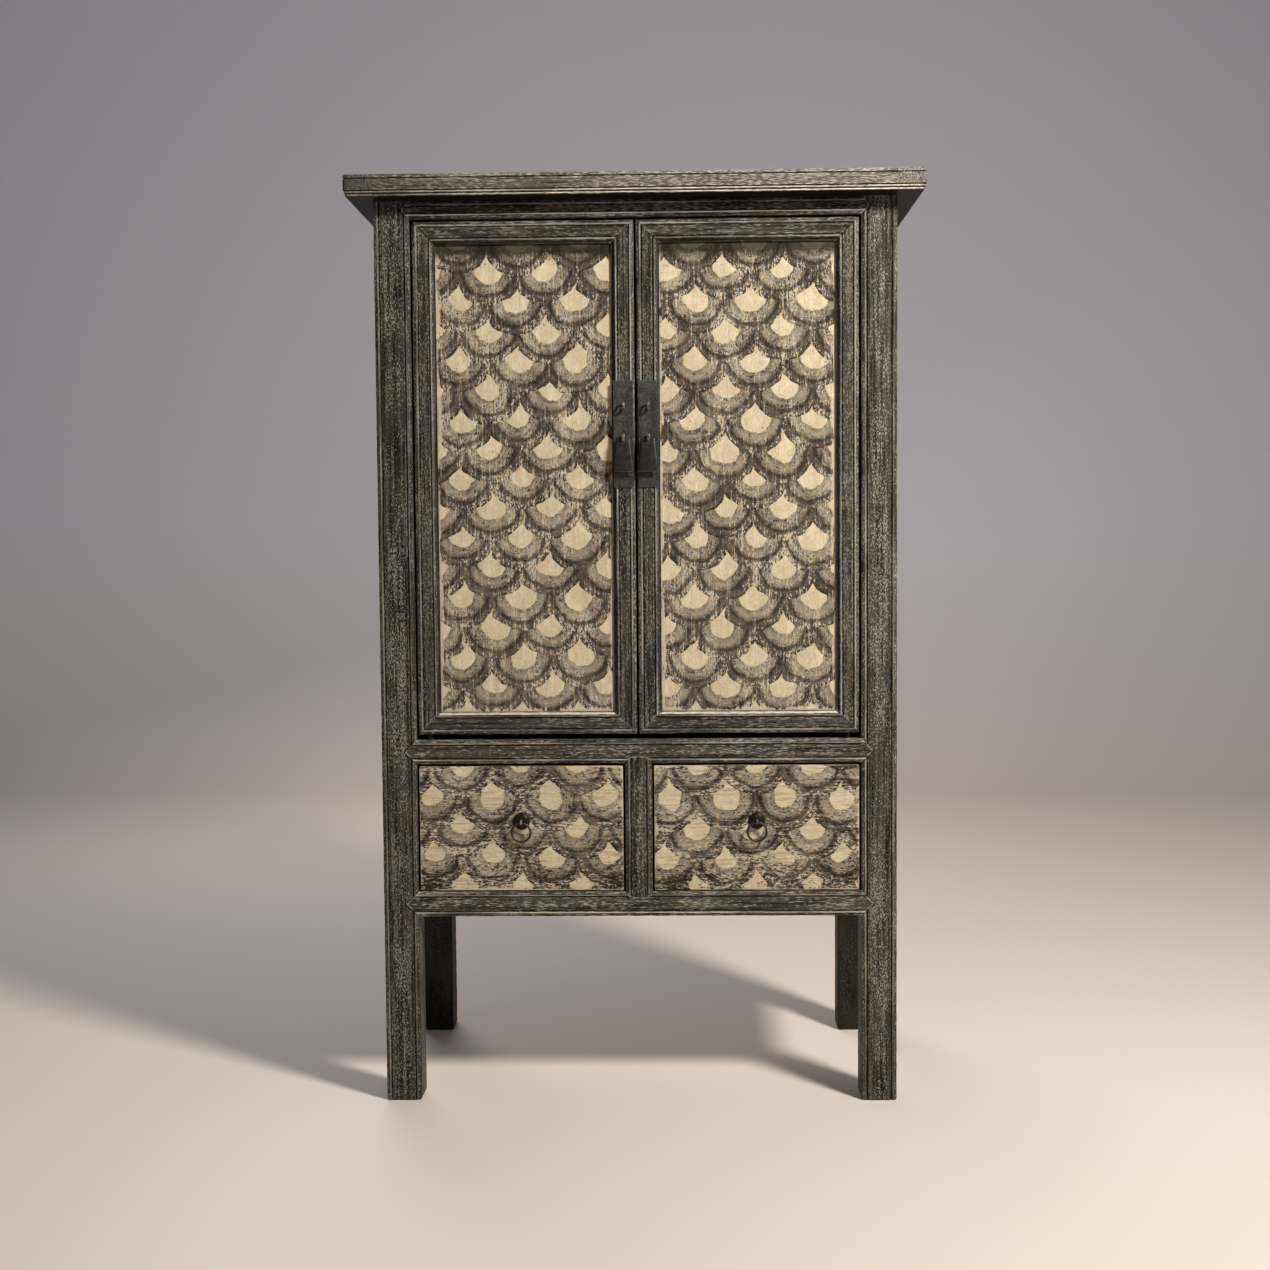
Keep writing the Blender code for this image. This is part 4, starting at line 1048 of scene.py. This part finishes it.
def make_door(side, sign):
    body = f"{side}_door"
    low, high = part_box(f"{body}_meeting_stile")
    outward = sign * X
    meeting_x = min(abs(low.x), abs(high.x)) * sign
    outer_x = max(abs(corner.x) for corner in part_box(f"{body}_hinge_stile")) * sign
    width = high.x - low.x
    height = high.z - low.z
    reach = abs(outer_x - meeting_x)
    members = (("hinge_stile", (outer_x, low.y, low.z), -outward, Z, height, 2),
               ("meeting_stile", (meeting_x, low.y, low.z), outward, Z, height, 2),
               ("bottom_rail", (meeting_x, low.y, low.z), Z, outward, reach, 0),
               ("top_rail", (meeting_x, low.y, high.z), -Z, outward, reach, 0))
    for name, corner, across, along, length, grain in members:
        spot = runs_from(corner, across, Y, along)
        face = door_face(width, BARE_AND_LIT_LEDGE if name == "bottom_rail" else DARK_BEVEL)
        piece = member(f"{body}_{name}_wood", face, high.y - low.y, spot, length, mitred=True)
        if name == "hinge_stile":
            add_pins(piece, body)
        fit_lacquered(piece, f"{body}_{name}", DOOR_LACQUER[grain], body)
    flanks = sorted((meeting_x + sign * width, outer_x - sign * width))
    panel = board(f"{body}_panel", plain_face, (X, Y, Z))
    visible = (*flanks, low.z + width, high.z - width)
    fit_painted(panel, body, f"{body}_panel", BARE_WOOD[2], DOOR_PAINT, visible, (low.z, high.z))


# Drawers

EDGE_BAND = 0.0045
BOARD_JOINT_HEIGHT = 0.0335
BOARD_JOINT_WIDTH = 0.0012
BOARD_JOINT_DEPTH = 0.0012
BOARD_JOINT_CLEAR = 3 * BOARD_JOINT_WIDTH


def drawer_face(height):
    """A drawer front's face from its foot: two boards with a fine joint between them."""
    face = plain_face(height)
    face = face[:3] + [(EDGE_BAND, 0.0, FLAT)] + face[4:-4] + [(height - EDGE_BAND, 0.0, FLAT)] + face[-3:]
    face[2] = (EASE, 0.0, EDGE)
    face[-3] = (height - EASE, 0.0, EDGE)
    joint = []
    for offset, deep, exposure in ((-2.0, 0.0, FLAT), (-0.6, 0.0, 0.6), (0.0, BOARD_JOINT_DEPTH, 0.0),
                                   (0.6, 0.0, 0.95), (2.0, 0.0, FLAT)):
        joint.append((BOARD_JOINT_HEIGHT + offset * BOARD_JOINT_WIDTH, deep, exposure))
    below = [point for point in face if point[0] < BOARD_JOINT_HEIGHT - BOARD_JOINT_CLEAR]
    above = [point for point in face if point[0] > BOARD_JOINT_HEIGHT + BOARD_JOINT_CLEAR]
    return below + joint + above


def make_drawer(side):
    body = f"{side}_drawer"
    low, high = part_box(f"{body}_front")
    front = board(f"{body}_front", drawer_face, (Z, Y, X), round_end=(EASE, EASE))
    fit_painted(front, body, f"{body}_front", BARE_WOOD[0], DRAWER_PAINT, (low.x, high.x, low.z, high.z),
                (low.z, high.z + (high.z - low.z)))


# Ironwork

IRON_EASE = 0.0006
IRON_EASE_STEPS = 2
IRON_CORNER_STEPS = 3
WELD = 1e-6
FLAT_ANGLE = math.radians(1)
EASED_ANGLE = math.radians(30)
PULL_CORE = 0.006
PULL_TRIMS = (0.87, 0.80)
STAPLE_SIZES = (0.0050, 0.0022, 0.0069)
COTTER_SIZES = (0.0035, 0.0016, 0.0042)
STRAP_LEG_GAP = 0.0005
STRAP_CLINCH = 0.008
STRAP_BEND = 0.0015
STRAP_CORNER = 0.3
EYE_STEPS = 40
RING_WIRE_RADIUS = 0.0021
RING_WIRE_CORNER = 0.98
RING_STEPS = 96
ROSE_RADIUS = 0.016
ROSE_HEIGHT = 0.007
ROSE_SHEET = 0.0012
ROSE_HOLE_RADIUS = 0.0032
ROSE_SIDES = 64
ROSE_STEPS = 14


def cut_iron(node, body, finish, trims=(1.0, 1.0)):
    """A flat iron piece from its node, with its edges eased, and its flanks trimmed to shares of their width.

    trims is the share at its foot and at its head.
    """
    build = bmesh.new()
    build.from_mesh(frame["nodes"][node].data)
    low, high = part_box(node)
    middle = (low.x + high.x) / 2
    for corner in build.verts:
        flank = abs(corner.co.x - middle) - PULL_CORE
        if flank > 0:
            rise = (corner.co.z - low.z) / (high.z - low.z)
            trim = trims[0] + (trims[1] - trims[0]) * rise
            corner.co.x = middle + math.copysign(PULL_CORE + flank * trim, corner.co.x - middle)
    bmesh.ops.remove_doubles(build, verts=build.verts, dist=WELD)
    bmesh.ops.dissolve_limit(build, angle_limit=FLAT_ANGLE, verts=build.verts, edges=build.edges)
    piece = add_built(f"{node}_iron", build)
    piece.data.materials.append(finish)
    piece.data.materials.append(EDGE_IRON)
    bevel = piece.modifiers.new("ease", "BEVEL")
    bevel.material = 1
    bevel.width = IRON_EASE
    bevel.segments = IRON_EASE_STEPS
    bevel.limit_method = "ANGLE"
    bevel.angle_limit = EASED_ANGLE
    settle(piece)
    smooth(piece)
    fit(piece, node, body)


def bend_bar(node, body, path, sizes, finish, closed=False):
    """A bar of some width, thickness and roundness of its corners, bent along a path."""
    edges = [(index, index + 1) for index in range(len(path) - 1)]
    if closed:
        edges.append((len(path) - 1, 0))
    mesh = bpy.data.meshes.new(f"{node}_iron")
    mesh.from_pydata(path, edges, [])
    piece = add_object(f"{node}_iron", mesh)
    apply_tree(piece, FORGED_BAR, {**dict(zip(("Width", "Thickness", "Corner"), sizes)), "Finish": finish})
    fit(piece, node, body)


def bend_strap(node, body, sizes):
    """A strap bent to an eye, with two legs through the wood that are clinched behind it."""
    low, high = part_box(node)
    width, thickness, radius = sizes
    middle_x = (low.x + high.x) / 2
    eye_z = (low.z + high.z) / 2
    eye_y = low.y + radius + thickness / 2
    clinch_y = high.y - thickness / 2
    leg = (thickness + STRAP_LEG_GAP) / 2
    upper = [(clinch_y, leg + STRAP_CLINCH)]
    upper += [(clinch_y - STRAP_BEND * (1 - math.cos(turn)), leg + STRAP_BEND * (1 - math.sin(turn)))
              for turn in quarter(BEND_STEPS)]
    start = math.asin(leg / radius)
    turns = [start + (2 * math.pi - 2 * start) * step / EYE_STEPS for step in range(EYE_STEPS + 1)]
    eye = [(eye_y + radius * math.cos(turn), radius * math.sin(turn)) for turn in turns]
    lower = [(y, -z) for y, z in reversed(upper)]
    path = [(middle_x, y, eye_z + z) for y, z in upper + eye + lower]
    bend_bar(node, body, path, (width, thickness, thickness * STRAP_CORNER), WORN_IRON)


def bend_ring(node, body):
    """A ring of round wire."""
    low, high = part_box(node)
    centre = (low + high) / 2
    radius = (high.x - low.x) / 2 - RING_WIRE_RADIUS
    turns = [2 * math.pi * step / RING_STEPS for step in range(RING_STEPS)]
    path = [centre + radius * (math.cos(turn) * X + math.sin(turn) * Z) for turn in turns]
    across = 2 * RING_WIRE_RADIUS
    bend_bar(node, body, path, (across, across, RING_WIRE_RADIUS * RING_WIRE_CORNER), RING_IRON, closed=True)


def dome_arc(radius, height):
    """A dome from its hole to its rim, as (out from the axis, forward)."""
    start = math.asin(ROSE_HOLE_RADIUS / radius)
    turns = [start + (math.pi / 2 - start) * step / ROSE_STEPS for step in range(ROSE_STEPS + 1)]
    return [(radius * math.sin(turn), height * math.cos(turn)) for turn in turns]


def beat_rose(node, body):
    """A domed rose of sheet iron with a hole for its cotter."""
    low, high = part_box(node)
    centre = (low + high) / 2
    section = dome_arc(ROSE_RADIUS, ROSE_HEIGHT)
    section += reversed(dome_arc(ROSE_RADIUS - ROSE_SHEET, ROSE_HEIGHT - ROSE_SHEET))
    build = bmesh.new()
    loops = []
    for step in range(ROSE_SIDES):
        turn = 2 * math.pi * step / ROSE_SIDES
        loops.append([build.verts.new((centre.x + out * math.cos(turn), high.y - forward,
                                       centre.z + out * math.sin(turn))) for out, forward in section])
    for near, far in zip(loops, loops[1:] + loops[:1]):
        bridge(build, near, far)
    bmesh.ops.recalc_face_normals(build, faces=build.faces)
    piece = add_built(f"{node}_iron", build)
    piece.data.materials.append(ROSE_IRON)
    smooth(piece)
    fit(piece, node, body)


def make_ironwork():
    for side in SIDES:
        cut_iron(f"{side}_door_plate", f"{side}_door", PLATE_IRON)
        cut_iron(f"{side}_door_pull", f"{side}_pull", PULL_IRON, PULL_TRIMS)
        for staple in ("lock_staple", "pull_staple"):
            bend_strap(f"{side}_door_{staple}", f"{side}_door", STAPLE_SIZES)
        beat_rose(f"{side}_drawer_rose", f"{side}_drawer")
        bend_strap(f"{side}_drawer_cotter", f"{side}_drawer", COTTER_SIZES)
        bend_ring(f"{side}_drawer_ring", f"{side}_ring")


# Bare wood inside

def finish_inside():
    grains = {"cabinet_floor": 0, "drawer_deck": 0, "drawer_centre_guide": 1, "shelf": 0,
              "shelf_bearer_left": 1, "shelf_bearer_right": 1}
    for side in SIDES:
        grains.update({f"{side}_drawer_wall_inner": 1, f"{side}_drawer_wall_outer": 1,
                       f"{side}_drawer_back": 0, f"{side}_drawer_bottom": 0})
    for name, grain in grains.items():
        materials = frame["nodes"][name].data.materials
        materials.clear()
        materials.append(BARE_WOOD[grain])


# Studio

FLOOR_DROP = 0.0003
BACKDROP_START = 3.6
BACKDROP_ROUND = 1.2
BACKDROP_STEPS = 12
BACKDROP_HEIGHT = 20.0
STAGE_HALF_WIDTH = 40.0
STAGE_FRONT = -40.0
FLOOR_COLOUR = (0.72, 0.645, 0.575)
WALL_COLOUR = (0.74, 0.71, 0.78)
FLOOR_ROUGHNESS = 0.7
LIGHT_TARGET = (0.0, 0.0, 1.0)
LIGHTS = {"key": {"place": (1.9, -2.0, 2.95), "size": 0.6, "power": 160.0, "colour": (1.0, 0.95, 0.88)},
          "fill": {"place": (-3.4, -3.0, 1.9), "size": 2.6, "power": 5.0, "colour": (0.95, 0.96, 1.0)},
          "back": {"place": (-1.2, 3.2, 3.0), "size": 2.4, "power": 60.0, "colour": (1.0, 0.98, 0.96)}}
ROOM_COLOUR = (0.80, 0.84, 0.94, 1.0)
ROOM_STRENGTH = 0.15
FRAME_PIXELS = 1270
FOCAL_PIXELS = 1627.0
SENSOR = 36.0
CAMERA_PLACE = (0.068, -3.328, 1.061)
CAMERA_YAW = math.radians(-1.358)
CAMERA_PITCH = math.radians(3.114)
CAMERA_ROLL = math.radians(-0.447)


def make_stage():
    """A plain pale floor that sweeps up behind."""
    profile = [(STAGE_FRONT, 0.0), (BACKDROP_START, 0.0)]
    profile += [(BACKDROP_START + BACKDROP_ROUND * math.sin(turn), BACKDROP_ROUND * (1 - math.cos(turn)))
                for turn in quarter(BACKDROP_STEPS)[1:]]
    profile.append((BACKDROP_START + BACKDROP_ROUND, BACKDROP_HEIGHT))
    build = bmesh.new()
    rows = [[build.verts.new((x, y, z - FLOOR_DROP)) for y, z in profile]
            for x in (-STAGE_HALF_WIDTH, STAGE_HALF_WIDTH)]
    for index in range(len(profile) - 1):
        build.faces.new((rows[0][index], rows[1][index], rows[1][index + 1], rows[0][index + 1]))
    floor = add_built("studio_floor", build)
    floor.data.shade_smooth()
    finish = Finish("pale_floor")
    rise = finish.span(finish.split(finish.place)[2], 0.0, BACKDROP_ROUND)
    finish.colour = finish.blend(rise, FLOOR_COLOUR, WALL_COLOUR)
    finish.coat(finish.span(finish.noise(finish.place, 0.6, 2.0), 0.3, 0.7, 0.0, 0.05), WALL_COLOUR)
    finish.feed(finish.shader.inputs["Base Color"], finish.colour)
    finish.shader.inputs["Roughness"].default_value = FLOOR_ROUGHNESS
    floor.data.materials.append(finish.material)


def add_light(name, place, size, power, colour):
    data = bpy.data.lights.new(name, "AREA")
    data.shape = "DISK"
    data.size = size
    data.energy = power
    data.color = colour
    light = add_object(name, data)
    light.location = place
    light.rotation_euler = (Vector(LIGHT_TARGET) - Vector(place)).to_track_quat("-Z", "Y").to_euler()


def make_lights():
    for name, values in LIGHTS.items():
        add_light(name, **values)
    world = bpy.data.worlds.new("studio_light")
    world.use_nodes = True
    background = world.node_tree.nodes["Background"]
    background.inputs["Color"].default_value = ROOM_COLOUR
    background.inputs["Strength"].default_value = ROOM_STRENGTH
    bpy.context.scene.world = world


def make_camera():
    """The camera of the photograph: its place, turn and focal length."""
    forward = Vector((math.sin(CAMERA_YAW) * math.cos(CAMERA_PITCH),
                      math.cos(CAMERA_YAW) * math.cos(CAMERA_PITCH), -math.sin(CAMERA_PITCH)))
    level = Vector((math.cos(CAMERA_YAW), -math.sin(CAMERA_YAW), 0.0))
    upright = level.cross(forward)
    right = math.cos(CAMERA_ROLL) * level + math.sin(CAMERA_ROLL) * upright
    up = math.cos(CAMERA_ROLL) * upright - math.sin(CAMERA_ROLL) * level
    data = bpy.data.cameras.new("camera")
    data.sensor_width = SENSOR
    data.lens = FOCAL_PIXELS / FRAME_PIXELS * SENSOR
    camera = add_object("camera", data)
    turn = Matrix((right, up, -forward)).transposed().to_4x4()
    camera.matrix_world = Matrix.Translation(CAMERA_PLACE) @ turn
    bpy.context.scene.camera = camera
    bpy.context.scene.view_settings.view_transform = "Standard"


LACQUER = [lacquer(f"worn_lacquer_{axis}", index) for index, axis in enumerate("xyz")]
BARE_WOOD = [bare_wood(f"bare_wood_{axis}", index) for index, axis in enumerate("xyz")]
# The right post is paler and more rubbed than the left: partly wear, partly painted light from the lamp on the
# right.
POST_LACQUER = {"left": lacquer("specked_lacquer", 2, 0.01, 1.05, 0.5),
                "right": lacquer("rubbed_post_lacquer", 2, 0.04, 1.25, 0.5)}
# Painted shade: the back posts are darker and barely rubbed, for the shade they stand in under the cabinet.
SHADED_BACK_POST_LACQUER = lacquer("plain_post_lacquer", 2, -0.08, 0.25, 0.3)
DIVIDER_LACQUER = lacquer("divider_lacquer", 2, 0.01, 1.0, 0.3)
DOOR_LACQUER = {0: lacquer("door_lacquer_x", 0, 0.03, 1.2, 0.5),
                2: lacquer("door_lacquer_z", 2, 0.05, 1.3, 0.5)}
TOP_FACE_LACQUER = [lacquer(f"top_face_lacquer_{axis}", index, 0.03, 1.2) for index, axis in enumerate("xy")]
# Painted shade: the top's front and its left cleat darken towards the left end, away from the lamp on the
# right.
TOP_LEFT_SHADE = (-0.53, -0.26)
TOP_LACQUER = {"top_board": lacquer("top_lacquer", 0, 0.17, 2.1, left_shade=TOP_LEFT_SHADE),
               "top_cleat_left": lacquer("dark_cleat_lacquer", 1, 0.14, 2.1, left_shade=TOP_LEFT_SHADE),
               "top_cleat_right": lacquer("pale_cleat_lacquer", 1, 0.16, 2.1)}
RAIL_LACQUER = {"front_top_rail": lacquer("shaded_lacquer", 0, 0.02, 1.2),
                "front_middle_rail": lacquer("streaked_lacquer", 0, 0.04, 1.3),
                "front_bottom_rail": lacquer("rubbed_lacquer", 0, 0.05, 1.3)}
PLATE_IRON = black_iron("stippled_plate_iron", (0.014, 0.014, 0.011), (0.066, 0.063, 0.052), 0.0, 0.2)
PULL_IRON = black_iron("blue_black_iron", (0.0128, 0.0116, 0.0112), (0.0300, 0.0264, 0.0240), 0.02, 0.5)
ROSE_IRON = black_iron("warm_black_iron", (0.0080, 0.0056, 0.0026), (0.0180, 0.0128, 0.0060), 0.0, 0.0, 0.15)
# The ring is lighter than the rose: partly its warmer iron, partly painted sheen of the light from above.
RING_IRON = black_iron("brown_black_iron", (0.0130, 0.0096, 0.0046), (0.034, 0.025, 0.0135), 0.06, 0.5)
# The eased edges of the plates and pulls are paler: partly rubbed iron, partly a painted highlight along them.
EDGE_IRON = black_iron("rubbed_iron_edges", (0.050, 0.047, 0.041), (0.130, 0.122, 0.108), 0.0, 0.2)
WORN_IRON = black_iron("worn_bright_iron", (0.030, 0.028, 0.025), (0.060, 0.055, 0.048), 0.8, 0.75)
WORN_WOOD = worn_wood_tree()
FORGED_BAR = forged_bar_tree()

make_camera()
make_lights()
make_stage()
make_posts()
make_front_rails()
make_sides()
make_back()
make_top()
for side, sign in SIDES.items():
    make_door(side, sign)
    make_drawer(side)
make_ironwork()
finish_inside()
